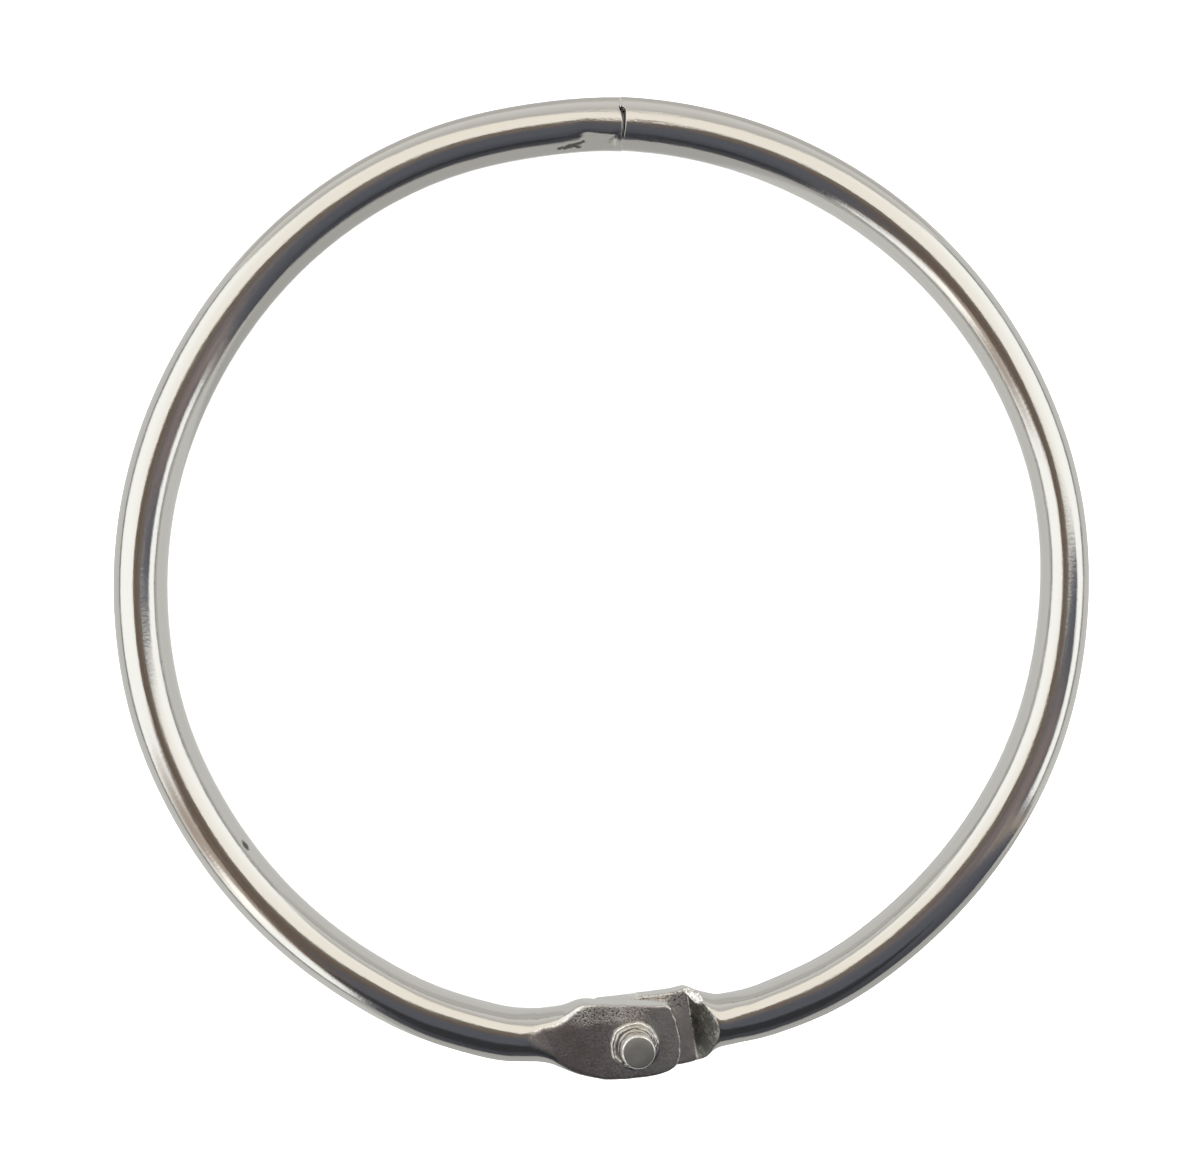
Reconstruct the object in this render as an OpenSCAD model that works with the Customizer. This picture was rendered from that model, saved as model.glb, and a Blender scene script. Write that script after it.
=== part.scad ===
// Hinged loose-leaf binder ring: two halves of round plated wire, pressed flat and lapped
// at a riveted hinge, and closed opposite the hinge by a tapered peg in a socket.
// It lies flat in millimetres, +Z up, with the rivet on the -Y side and the ring about the origin.

/* [Ring] */
// Outside diameter of the closed ring
ring_od = 76; // [64:1:90]
// Diameter of the round wire
wire_d = 4; // [3.6:0.1:4.6]

/* [Hinge] */
// Width of the flattened end of each half
paddle_w = 5.6; // [5:0.1:6.4]
// Thickness of the flattened end of each half
paddle_t = 1.65; // [1.4:0.05:1.9]
// Running gap between the two flattened ends
lap_gap = 0.1; // [0.06:0.02:0.2]
// Distance from the rivet to the rounded tip of a flattened end
tip_reach = 3.5; // [3.2:0.1:4]
// Room between that tip and the slanted shoulder of the other half
shoulder_room = 1; // [0.6:0.1:1.6]
// Slant of the shoulder from the plane of the ring, in degrees
shoulder_slant = 45; // [38:1:60]
// Length of the neck between the shoulder and the round wire
neck_l = 5; // [4:0.1:7]

/* [Rivet] */
// How far the rivet sits outside the middle of the flattened ends
rivet_offset = 0.45; // [0.2:0.05:0.6]
// Diameter of the rivet's shank and of its stub in front
shank_d = 2.7; // [2.2:0.1:3]
// Gap round the shank in the half that turns on it
running_clearance = 0.05; // [0.02:0.01:0.09]
// Gap round the shank in the half that it is staked to
staked_clearance = 0.02; // [0.01:0.01:0.04]
// Diameter of the staked collar in front
collar_d = 3.75; // [3.4:0.05:4.4]
// Height of the staked collar
collar_h = 0.35; // [0.25:0.05:0.6]
// Height of the stub above the flattened end
stub_h = 1.4; // [0.8:0.1:1.8]
// Diameter of the head behind
head_d = 4.2; // [3.8:0.1:4.8]
// Thickness of the head behind
head_t = 0.5; // [0.4:0.05:0.8]

/* [Closure] */
// How far the closure sits from the point opposite the rivet, in degrees
seam_offset = 7.4; // [0:0.2:12]
// Gap between the two closed ends
seam_gap = 0.12; // [0.06:0.02:0.3]
// Height of the rounded end of the left half
dome_rise = 0.8; // [0.5:0.05:1.2]
// Diameter of the peg where it leaves the rounded end
peg_d = 2.2; // [1.8:0.1:2.6]
// Diameter of the peg at its tip
peg_tip_d = 1.4; // [1:0.1:1.6]
// Length of the peg beyond the rounded end
peg_l = 2.2; // [1.6:0.1:3]
// Gap round the peg in its socket
socket_clearance = 0.15; // [0.1:0.05:0.25]
// Length of the pressed flat inside the rounded end
crimp_l = 2.7; // [1.6:0.1:4]
// Depth of the pressed flat
crimp_depth = 0.2; // [0.1:0.05:0.35]
// Distance of the pressed flat from the rounded end
crimp_setback = 0.5; // [0.3:0.1:1.2]

/* [Hidden] */

// Facets that stand for a round, and the points and slices of the pressed neck
$fn = 64;
section_points = 32;
neck_slices = 12;
degrees_per_radian = 180 / PI;

// How far every cut runs past what it cuts
overrun = wire_d / 4;

// Ring
wire_r = wire_d / 2;
wire_path_r = ring_od / 2 - wire_r;

// Hinge: the flattened ends lie flush with the outside of the ring
paddle_path_r = ring_od / 2 - paddle_w / 2;
pivot_r = paddle_path_r + rivet_offset;
face_z = lap_gap / 2 + paddle_t;
shoulder_reach = tip_reach + shoulder_room;
neck_reach = shoulder_reach + neck_l;
neck_angle = neck_reach / paddle_path_r * degrees_per_radian;

// Shares of the neck from the shoulder out: where the pressed face is level, and where it runs out on the wire
press_level_share = 0.34;
press_end_share = 0.76;
// Share of the tip's reach at which the neck has its full width
full_width_share = 0.7;
// The neck's unpressed height over the pressed face, and its squareness from round wire to flattened end
crown_share = 1.06;
round_power = 2;
square_power = 12;
// The neck starts a hair fuller than the wire that runs into it
neck_start_share = 1.015;
neck_lap = wire_r / 6;
lap_angle = neck_lap / wire_path_r * degrees_per_radian;

// Rivet
shank_r = shank_d / 2;
collar_r = collar_d / 2;
head_r = head_d / 2;
// Shares of the collar: its outer wall, the crest left by staking, and the groove round the stub
collar_wall_share = 0.55;
collar_crest_share = 0.72;
collar_groove_share = 0.45;
collar_root_share = 0.3;
stub_bevel = shank_r / 8;
head_bevel = head_t / 2;
head_face_z = face_z + running_clearance;

// The ring stands on the rivet's head or on the wire, whichever is lower
ring_z = max(wire_r, head_face_z + head_t);

// Closure
seam_angle = 90 - seam_offset;
dome_r = (wire_r * wire_r + dome_rise * dome_rise) / (2 * dome_rise);
dome_root = dome_rise + overrun;
dome_angle = dome_root / wire_path_r * degrees_per_radian;
peg_root = dome_r / 2;
peg_bevel = peg_tip_d / 6;
// The peg points along the path that the closing end swings on
seam_x = wire_path_r * sin(seam_offset);
seam_y = wire_path_r * cos(seam_offset);
peg_turn = seam_offset - atan2(seam_x, seam_y + pivot_r);
crimp_tilt = 52;
crimp_angle = (crimp_setback + crimp_l / 2) / wire_path_r * degrees_per_radian;

function ease(t) = t * t * (3 - 2 * t);
function mix(from, to, t) = from + (to - from) * t;
function squared(c, power) = sign(c) * pow(abs(c), 2 / power);

// How far the neck has come from round wire, 0, to flattened end, 1, at a place along the ring from the rivet
function pressed(s) = min(1, max(0, (s + neck_reach) / (neck_reach - tip_reach * full_width_share)));

// One closed slice of the neck, across the ring
function neck_slice(s) =
    let (t = pressed(s))
    let (power = mix(round_power, square_power, pow(t, 4)))
    let (grow = mix(neck_start_share, 1, ease(t)))
    let (half_w = grow * mix(wire_r, paddle_w / 2, ease(t)))
    let (half_h = grow * mix(wire_r, face_z * crown_share, ease(t)))
    let (middle = mix(wire_path_r, paddle_path_r, ease(t)))
    let (turn = s / paddle_path_r * degrees_per_radian - 90)
    [for (i = [0 : section_points - 1])
        let (a = 360 * i / section_points)
        let (reach = middle + half_w * squared(cos(a), power))
        [reach * cos(turn), reach * sin(turn), half_h * squared(sin(a), power)]];

// Where the slices lie: close together over the neck, then one past the tip
neck_places = concat(
    [for (k = [0 : neck_slices]) mix(-neck_reach, -tip_reach * full_width_share, k / neck_slices)],
    [tip_reach + overrun]);

// Skin of the neck, two triangles to a patch, closed at both ends
module neck_skin() {
    n = section_points;
    last = len(neck_places) - 1;
    points = [for (s = neck_places) each neck_slice(s)];
    sides = [for (k = [0 : last - 1], i = [0 : n - 1])
        let (j = (i + 1) % n)
        each [
            [k * n + i, k * n + j, (k + 1) * n + j],
            [k * n + i, (k + 1) * n + j, (k + 1) * n + i]]];
    start_cap = [for (i = [n - 1 : -1 : 0]) i];
    end_cap = [for (i = [0 : n - 1]) last * n + i];
    polyhedron(points, concat(sides, [start_cap, end_cap]));
}

// Stretch of round wire, from one angle to another
module wire(from_angle, to_angle) {
    rotate([0, 0, from_angle])
        rotate_extrude(angle = to_angle - from_angle)
            translate([wire_path_r, 0])
                circle(wire_r);
}

// Cut across the hinge whose outline is drawn in X and Z
module hinge_cut(outline) {
    translate([0, -paddle_path_r + paddle_w, 0])
        rotate([90, 0, 0])
            linear_extrude(2 * paddle_w)
                polygon(outline);
}

// Pressed face in front: level over the paddle, then rising until it runs out on the wire
module press_cut() {
    level_x = shoulder_reach + neck_l * press_level_share;
    end_x = shoulder_reach + neck_l * press_end_share;
    top_z = face_z + wire_r;
    hinge_cut([
        [-end_x, wire_r],
        [-level_x, face_z],
        [tip_reach + wire_d, face_z],
        [tip_reach + wire_d, top_z],
        [-end_x, top_z]]);
}

// Room for the other half's flattened end, closed by the slanted shoulder
module lap_cut() {
    depth = wire_d + lap_gap / 2;
    hinge_cut([
        [-shoulder_reach, lap_gap / 2],
        [tip_reach + wire_d, lap_gap / 2],
        [tip_reach + wire_d, -wire_d],
        [-shoulder_reach - depth / tan(shoulder_slant), -wire_d]]);
}

// What lies beyond the rounded tip
module tip_cut() {
    translate([0, -pivot_r, 0])
        difference() {
            translate([0, -paddle_w, -wire_d])
                cube([tip_reach + wire_d, 2 * paddle_w, 2 * wire_d]);
            cylinder(r = tip_reach, h = 4 * wire_d, center = true);
        }
}

// Neck and flattened end of the half on the -X side, in front of the lap, drilled for the rivet
module hinge_end(clearance) {
    difference() {
        neck_skin();
        press_cut();
        lap_cut();
        tip_cut();
        translate([0, -pivot_r, 0])
            cylinder(r = shank_r + clearance, h = 4 * wire_d, center = true);
    }
}

// Places its children on the wire, turned back from the closure: +X along the ring, +Y outwards
module on_wire(back_angle) {
    rotate([0, 0, back_angle - seam_offset])
        translate([0, wire_path_r, 0])
            children();
}

// Tapered peg along the swing of the closing end, grown on all sides by a gap
module peg(gap) {
    base_r = peg_d / 2 + gap;
    tip_r = peg_tip_d / 2 + gap;
    on_wire(0)
        rotate([0, 90, peg_turn])
            translate([0, 0, -peg_root])
                rotate_extrude()
                    polygon([
                        [0, 0],
                        [base_r, 0],
                        [base_r, peg_root],
                        [tip_r, peg_root + peg_l + gap - peg_bevel],
                        [tip_r - peg_bevel, peg_root + peg_l + gap],
                        [0, peg_root + peg_l + gap]]);
}

// Rounded end of the left half, cropped round as seen from above and straight where it leaves the wire's curve
module rounded_end() {
    on_wire(dome_angle)
        intersection() {
            rotate([0, 90, 0])
                cylinder(r = wire_r, h = dome_root);
            translate([dome_root - dome_r, 0, 0])
                rotate([0, 0, 180])
                    cylinder(r = dome_r, h = 2 * wire_d, center = true);
        }
}

// Hollow that the rounded end lies in
module hollow_end() {
    on_wire(0)
        translate([-dome_r, 0, 0])
            rotate([0, 0, 180])
                cylinder(r = dome_r + seam_gap, h = 2 * wire_d, center = true);
}

// Flat pressed into the inner front of the wire behind the rounded end
module crimp_cut() {
    on_wire(crimp_angle)
        rotate([crimp_tilt, 0, 0])
            translate([-crimp_l / 2, -wire_r, wire_r - crimp_depth])
                cube([crimp_l, wire_d, wire_r]);
}

module left_half_ring() {
    color("silver")
        translate([0, 0, ring_z])
            union() {
                difference() {
                    union() {
                        wire(seam_angle + dome_angle, 270 - neck_angle + lap_angle);
                        rounded_end();
                    }
                    crimp_cut();
                }
                peg(0);
                hinge_end(staked_clearance);
            }
}

module right_half_ring() {
    color("gainsboro")
        translate([0, 0, ring_z])
            union() {
                difference() {
                    wire(neck_angle - 90 - lap_angle, seam_angle + dome_angle);
                    hollow_end();
                    peg(socket_clearance);
                }
                rotate([0, 180, 0])
                    hinge_end(running_clearance);
            }
}

module hinge_rivet() {
    wall = collar_r - shank_r;
    color("darkgray")
        translate([0, -pivot_r, ring_z])
            rotate_extrude()
                polygon([
                    [0, -head_face_z - head_t],
                    [head_r - head_bevel, -head_face_z - head_t],
                    [head_r, -head_face_z - head_t + head_bevel],
                    [head_r, -head_face_z],
                    [shank_r, -head_face_z],
                    [shank_r, face_z],
                    [collar_r, face_z],
                    [collar_r, face_z + collar_h * collar_wall_share],
                    [shank_r + wall * collar_crest_share, face_z + collar_h],
                    [shank_r + wall * collar_root_share, face_z + collar_h * collar_groove_share],
                    [shank_r, face_z + collar_h * collar_groove_share],
                    [shank_r, face_z + stub_h - stub_bevel],
                    [shank_r - stub_bevel, face_z + stub_h],
                    [0, face_z + stub_h]]);
}

left_half_ring();
right_half_ring();
hinge_rivet();
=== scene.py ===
"""Dressed model of a hinged loose-leaf ring of nickel-plated wire, seen from straight above.

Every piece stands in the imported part's frame. Sizes are in millimetres and become metres as they
are written to a mesh. Each half of the ring is a circle turned round the ring's centre, pressed
flat at its hinge end and finished at its closing end. The rivet is drawn out along its profile.
"""

import logging
import math
from dataclasses import dataclass
from enum import Enum
from functools import reduce

import bpy
import numpy as np
from mathutils import Matrix, Vector


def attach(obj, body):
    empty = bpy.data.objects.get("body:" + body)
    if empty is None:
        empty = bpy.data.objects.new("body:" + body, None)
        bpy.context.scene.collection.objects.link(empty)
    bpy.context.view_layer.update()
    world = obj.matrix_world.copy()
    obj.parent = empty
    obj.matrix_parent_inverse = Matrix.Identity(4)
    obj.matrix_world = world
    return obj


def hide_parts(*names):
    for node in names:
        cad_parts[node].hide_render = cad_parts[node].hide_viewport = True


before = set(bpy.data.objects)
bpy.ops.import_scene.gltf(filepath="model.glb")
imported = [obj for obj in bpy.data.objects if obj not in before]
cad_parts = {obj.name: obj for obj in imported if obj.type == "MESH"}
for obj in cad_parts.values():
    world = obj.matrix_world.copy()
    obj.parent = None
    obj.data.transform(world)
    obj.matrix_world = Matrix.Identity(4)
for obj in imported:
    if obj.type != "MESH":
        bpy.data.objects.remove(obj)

MM = 0.001
HINGE_ANGLE = 1.5 * math.pi
log = logging.getLogger("binder_ring")

# A stretch is a start and a length, a span is two ends, and a wave is a height, a rate and a phase
Colour = tuple[float, float, float, float]
Place = tuple[float, float]
Stretch = tuple[float, float]
Span = tuple[float, float]
Waves = tuple[tuple[float, float, float], ...]
Socket = bpy.types.NodeSocket


class Side(Enum):
    """The two halves of the ring, each with the CAD node that it stands for."""

    LEFT = "left_half_ring"
    RIGHT = "right_half_ring"

    @property
    def body(self) -> str:
        """Name of the CAD body that the half moves with."""
        return "left_half" if self is Side.LEFT else "right_half"


@dataclass(frozen=True)
class RingSizes:
    """Driving sizes of the ring in millimetres and radians, the same as the part's own."""

    ring_od: float = 76.0
    wire_d: float = 4.0
    paddle_w: float = 5.6
    paddle_t: float = 1.65
    lap_gap: float = 0.1
    tip_reach: float = 3.5
    shoulder_room: float = 1.0
    neck_l: float = 5.0
    rivet_offset: float = 0.45
    running_clearance: float = 0.05
    staked_clearance: float = 0.02
    shank_d: float = 2.7
    collar_d: float = 3.75
    collar_h: float = 0.35
    stub_h: float = 1.4
    head_d: float = 4.2
    head_t: float = 0.5
    seam_offset: float = math.radians(7.4)
    dome_rise: float = 0.8
    peg_d: float = 2.2
    peg_tip_d: float = 1.4
    peg_l: float = 2.2
    socket_clearance: float = 0.15
    crimp_l: float = 2.7
    crimp_setback: float = 0.5

    @property
    def wire_r(self) -> float:
        """Radius of the round wire."""
        return self.wire_d / 2

    @property
    def path_r(self) -> float:
        """Radius that the middle of the wire follows."""
        return self.ring_od / 2 - self.wire_r

    @property
    def paddle_r(self) -> float:
        """Radius that the middle of the flattened ends follows."""
        return self.ring_od / 2 - self.paddle_w / 2

    @property
    def pivot_r(self) -> float:
        """Radius at which the rivet stands."""
        return self.paddle_r + self.rivet_offset

    @property
    def face_z(self) -> float:
        """Height of the pressed face over the plane of the ring."""
        return self.lap_gap / 2 + self.paddle_t

    @property
    def shoulder_reach(self) -> float:
        """Distance from the rivet to the foot of the slanted shoulder."""
        return self.tip_reach + self.shoulder_room

    @property
    def neck_reach(self) -> float:
        """Distance from the rivet to the start of the neck."""
        return self.shoulder_reach + self.neck_l

    @property
    def ring_z(self) -> float:
        """Height of the plane of the ring over the floor."""
        return self.face_z + self.running_clearance + self.head_t

    @property
    def peg_turn(self) -> float:
        """Slant of the peg from the wire, along the path that the closing end swings on.

        Returns:
            The slant in radians.
        """
        along = self.path_r * math.sin(self.seam_offset)
        across = self.path_r * math.cos(self.seam_offset) + self.pivot_r
        return self.seam_offset - math.atan2(along, across)


def ease(share: np.ndarray) -> np.ndarray:
    """Smooth step of a share, held between 0 and 1."""
    held = np.clip(share, 0.0, 1.0)
    return held * held * (3.0 - 2.0 * held)


def ramp(value: np.ndarray, start: float, length: float) -> np.ndarray:
    """Smooth step of a value, from 0 at a start to 1 a length further on."""
    return ease((value - start) / length)


def bell(value: np.ndarray, width: float) -> np.ndarray:
    """1 where a value is 0, falling off smoothly on both sides."""
    return np.exp(-((value / width) ** 2))


def ripple(place: np.ndarray, waves: Waves) -> np.ndarray:
    """Sum of waves, each with its height, its rate and its phase."""
    return sum(height * np.sin(rate * place + phase) for height, rate, phase in waves)


def smooth_max(first: np.ndarray, second: np.ndarray, blend: float) -> np.ndarray:
    """Larger of two fields, rounded where they meet over a blend."""
    meet = np.maximum(blend - np.abs(first - second), 0.0) / blend
    return np.maximum(first, second) + meet * meet * blend / 4


def deselect_all() -> None:
    """Leaves nothing selected, in object mode."""
    if bpy.context.object and bpy.context.object.mode != "OBJECT":
        bpy.ops.object.mode_set(mode="OBJECT")
    bpy.ops.object.select_all(action="DESELECT")


def activate(piece: bpy.types.Object) -> None:
    """Makes one object the only selected and active one.

    Args:
        piece: The object.
    """
    deselect_all()
    piece.select_set(True)
    bpy.context.view_layer.objects.active = piece


def name_new(name: str) -> bpy.types.Object:
    """Names the primitive that was just added and applies its place.

    Args:
        name: The name of the object and of its mesh.

    Returns:
        The object.
    """
    piece = bpy.context.object
    piece.name = piece.data.name = name
    bpy.ops.object.transform_apply(location=True, rotation=True, scale=True)
    return piece


def read_points(piece: bpy.types.Object) -> np.ndarray:
    """Vertices of a piece in millimetres.

    Args:
        piece: The object to read.

    Returns:
        One row a vertex.
    """
    points = np.empty(len(piece.data.vertices) * 3)
    piece.data.vertices.foreach_get("co", points)
    return points.reshape(-1, 3) / MM


def write_points(piece: bpy.types.Object, points: np.ndarray) -> None:
    """Puts vertices given in millimetres back on a piece."""
    piece.data.vertices.foreach_set("co", (points * MM).ravel())
    piece.data.update()


def pick(piece: bpy.types.Object, chosen: np.ndarray) -> None:
    """Opens a piece in edit mode with only the chosen vertices and what they span selected.

    Args:
        piece: The object to open.
        chosen: True for each vertex to select.
    """
    activate(piece)
    bpy.context.tool_settings.mesh_select_mode = (True, False, False)
    for items in (piece.data.polygons, piece.data.edges):
        items.foreach_set("select", np.zeros(len(items), dtype=bool))
    piece.data.vertices.foreach_set("select", chosen)
    bpy.ops.object.mode_set(mode="EDIT")
    bpy.ops.mesh.select_mode(type="VERT")


def picked(piece: bpy.types.Object) -> np.ndarray:
    """Leaves edit mode and tells what was selected.

    Args:
        piece: The object that is open.

    Returns:
        True for each selected vertex.
    """
    bpy.ops.object.mode_set(mode="OBJECT")
    flags = np.zeros(len(piece.data.vertices), dtype=bool)
    piece.data.vertices.foreach_get("select", flags)
    return flags


def store_mask(piece: bpy.types.Object, name: str, values: np.ndarray) -> None:
    """Keeps one number a vertex on a piece, for its material to read."""
    attribute = piece.data.attributes.new(name, "FLOAT", "POINT")
    attribute.data.foreach_set("value", values.astype(np.float32))


def store_places(piece: bpy.types.Object, name: str, places: np.ndarray) -> None:
    """Keeps one place a vertex on a piece, for its material to read."""
    attribute = piece.data.attributes.new(name, "FLOAT_VECTOR", "POINT")
    attribute.data.foreach_set("vector", places.astype(np.float32).ravel())


@dataclass(frozen=True)
class Bend:
    """Slight bend, thinning or flattening of the wire round one place.

    The place is the distance back from the rivet, the shift is outwards and the trim is what the
    wire loses of its thickness with its outer side kept, all in millimetres. The flat is how much
    squarer than round the inner side is, as a power over 2.
    """

    place: float
    spread: float
    shift: float = 0.0
    trim: float = 0.0
    flat: float = 0.0

    def share(self, along: np.ndarray) -> np.ndarray:
        """How much of the bend each place along the wire takes."""
        return bell(-along - self.place, self.spread)


@dataclass(frozen=True)
class WornCorner:
    """Corner taken off the inner side of a shoulder by rubbing, as a plane that bows away along the wire.
    """

    back: float = 0.5
    length: float = 0.68
    inward: float = 0.75
    down: float = 0.66
    reach: float = 1.72
    bow: float = 0.35

    def field(self, s: np.ndarray, u: np.ndarray, v: np.ndarray) -> np.ndarray:
        """Field of the plane, below 0 on the side that stays, with s from the shoulder's foot."""
        apart = (s + self.back) / self.length
        return -self.inward * u - self.down * v - self.reach - self.bow * apart**2


@dataclass
class HingeField:
    """Shape of the pressed hinge end as a field: below 0 inside, 0 on the skin.

    Places are s along the ring from the rivet, u outwards from the middle of the section and v
    over the plane of the ring. The flattened end lies in front of the lap, at v over 0.
    """

    sizes: RingSizes
    neck_start: float = 7.9
    neck_end: float = 2.4
    neck_power: float = 1.25
    neck_smooth: float = 0.0
    outer_room: float = 0.17
    outer_pinch: float = 0.2
    inner_room: float = 0.72
    inner_length: float = 1.5
    inner_height: Stretch = (-1.2, 1.6)
    crown_share: float = 1.18
    square_power: float = 20.0
    square_ease: float = 3.0
    press_level: float = 6.6
    press_end: float = 8.3
    run_skew: float = 0.6
    tip_blend: float = 0.3
    tip_outer_blend: float = 0.6
    tip_room: Stretch = (-1.2, 1.2)
    tip_nicks: Waves = ((0.03, 7.3, 0.5), (0.022, 17.0, 2.0), (0.012, 31.0, 0.0))
    nick_depth: float = 0.06
    end_bow: float = 0.09
    end_middle: float = -0.1
    inner_taper: float = 0.1
    inner_taper_start: float = -0.8
    outer_taper: float = 0.065
    lap_slope: float = 0.8
    foot_skew: float = 0.05
    foot_round: float = 0.12
    edge_round: float = 0.16
    skin_steps: int = 40
    worn_corner: WornCorner | None = None

    def pressed(self, s: np.ndarray) -> np.ndarray:
        """How far the neck has come from round wire to flattened end.

        Args:
            s: Places along the ring from the rivet.

        Returns:
            0 on round wire and 1 on the flattened end.
        """
        share = np.clip((s + self.neck_start) / (self.neck_start - self.neck_end), 0.0, 1.0)
        share = share + (ease(share) - share) * self.neck_smooth
        return share**self.neck_power

    def middle(self, s: np.ndarray) -> np.ndarray:
        """Radius of the middle of the section from the ring's centre."""
        return self.sizes.path_r + (self.sizes.paddle_r - self.sizes.path_r) * self.pressed(s)

    def half_sizes(self, s: np.ndarray) -> tuple[np.ndarray, np.ndarray]:
        """Half width and half height of the section, before it is pressed.

        Args:
            s: Places along the ring from the rivet.

        Returns:
            The two half sizes.
        """
        sizes = self.sizes
        grown = self.pressed(s)
        wide = sizes.wire_r + (sizes.paddle_w / 2 - sizes.wire_r) * grown
        high = sizes.wire_r + (sizes.face_z * self.crown_share - sizes.wire_r) * grown
        return wide, high

    def inner_spread(self, s: np.ndarray) -> np.ndarray:
        """How far the press spread the inner side near the lap's shoulder."""
        return self.inner_room * bell(s + self.sizes.shoulder_reach, self.inner_length)

    def press_height(self, s: np.ndarray, u: np.ndarray | float = 0.0) -> np.ndarray:
        """Height of the pressed face, level and then rising until it runs out on the wire."""
        slope = (self.sizes.wire_r - self.sizes.face_z) / (self.press_end - self.press_level)
        return self.sizes.face_z + np.maximum(self.run_skew * u - s - self.press_level, 0.0) * slope

    def lap_height(self, s: np.ndarray, u: np.ndarray) -> np.ndarray:
        """Height of the lap face, and of the slanted shoulder that closes it.

        Args:
            s: Places along the ring from the rivet.
            u: Places outwards from the middle of the section.

        Returns:
            The heights over the plane of the ring.
        """
        foot = -self.sizes.shoulder_reach + self.foot_skew * u
        level = self.sizes.lap_gap / 2
        return -smooth_max(-np.full_like(s, level), -(level + s - foot), self.foot_round)

    def tip(self, s: np.ndarray, u: np.ndarray) -> np.ndarray:
        """Field of the end's outline from the front: two sides that draw in and a bowed, nicked end.

        Args:
            s: Places along the ring from the rivet.
            u: Places outwards from the middle of the section.

        Returns:
            The field.
        """
        half = self.sizes.paddle_w / 2
        room = self.edge_round * (1.0 - ramp(s, *self.tip_room))
        bow = self.end_bow * (u - self.end_middle) ** 2 + ripple(u, self.tip_nicks)
        end = s - self.sizes.tip_reach + self.nick_depth + bow
        taper = self.inner_taper * np.maximum(s - self.inner_taper_start, 0.0)
        inner = -u - half + taper - room - self.inner_spread(s)
        outer = u - half - self.outer_room + self.outer_taper * np.maximum(s, 0.0) ** 2 - room
        return smooth_max(smooth_max(end, inner, self.tip_blend), outer, self.tip_outer_blend)

    def parts(self, s: np.ndarray, u: np.ndarray, v: np.ndarray) -> list[np.ndarray]:
        """Values of the body, press, lap and tip fields, and of the worn corner if there is one.

        Args:
            s: Places along the ring from the rivet.
            u: Places outwards from the middle of the section.
            v: Heights over the plane of the ring.

        Returns:
            One array a field, in that order.
        """
        wide, high = self.half_sizes(s)
        grown = self.pressed(s)
        power = 2.0 + (self.square_power - 2.0) * grown**self.square_ease
        beyond = self.outer_room * grown - 4.0 * self.outer_pinch * grown * (1.0 - grown)
        spread = self.inner_spread(s) * ramp(v, *self.inner_height)
        reach = wide + np.where(u > 0.0, beyond, spread)
        bulge = (np.abs(u / reach) ** power + np.abs(v / high) ** power) ** (1 / power)
        body = (bulge - 1.0) * np.minimum(wide, high)
        press = v - self.press_height(s, u)
        lap = (self.lap_height(s, u) - v) * self.lap_slope
        fields = [body, press, lap, self.tip(s, u)]
        if self.worn_corner:
            fields.append(self.worn_corner.field(s + self.sizes.shoulder_reach, u, v))
        return fields

    def value(self, s: np.ndarray, u: np.ndarray, v: np.ndarray) -> np.ndarray:
        """The whole field, with its edges rounded.

        Args:
            s: Places along the ring from the rivet.
            u: Places outwards from the middle of the section.
            v: Heights over the plane of the ring.

        Returns:
            The joined field.
        """
        joined, *others = self.parts(s, u, v)
        for other in others:
            joined = smooth_max(joined, other, self.edge_round)
        return joined

    def skin(self, s: np.ndarray, turn: np.ndarray) -> tuple[np.ndarray, np.ndarray]:
        """Places of the skin round each section, found by halving along a ray.

        Args:
            s: Places along the ring from the rivet.
            turn: Angle round the section of each point, before pressing.

        Returns:
            The u and v of each point.
        """
        wide, high = self.half_sizes(s)
        level = self.sizes.lap_gap / 2
        top = np.minimum(high, self.press_height(s))
        bottom = np.maximum(-high, np.minimum(level, level + s + self.sizes.shoulder_reach))
        middle = (top + bottom) / 2
        power = 1.0 / (1.0 + self.pressed(s))
        out = wide * np.sign(np.cos(turn)) * np.abs(np.cos(turn)) ** power
        up = (top - bottom) / 2 * np.sign(np.sin(turn)) * np.abs(np.sin(turn)) ** power
        length = np.hypot(out, up)
        out, up = out / length, up / length
        lead = self.end_middle * ease(s / self.sizes.tip_reach)
        near = np.zeros_like(s)
        far = np.full_like(s, 2 * self.sizes.wire_d)
        for _ in range(self.skin_steps):
            half = (near + far) / 2
            inside = self.value(s, lead + out * half, middle + up * half) < 0.0
            near = np.where(inside, half, near)
            far = np.where(inside, far, half)
        return lead + out * near, middle + up * near


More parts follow.
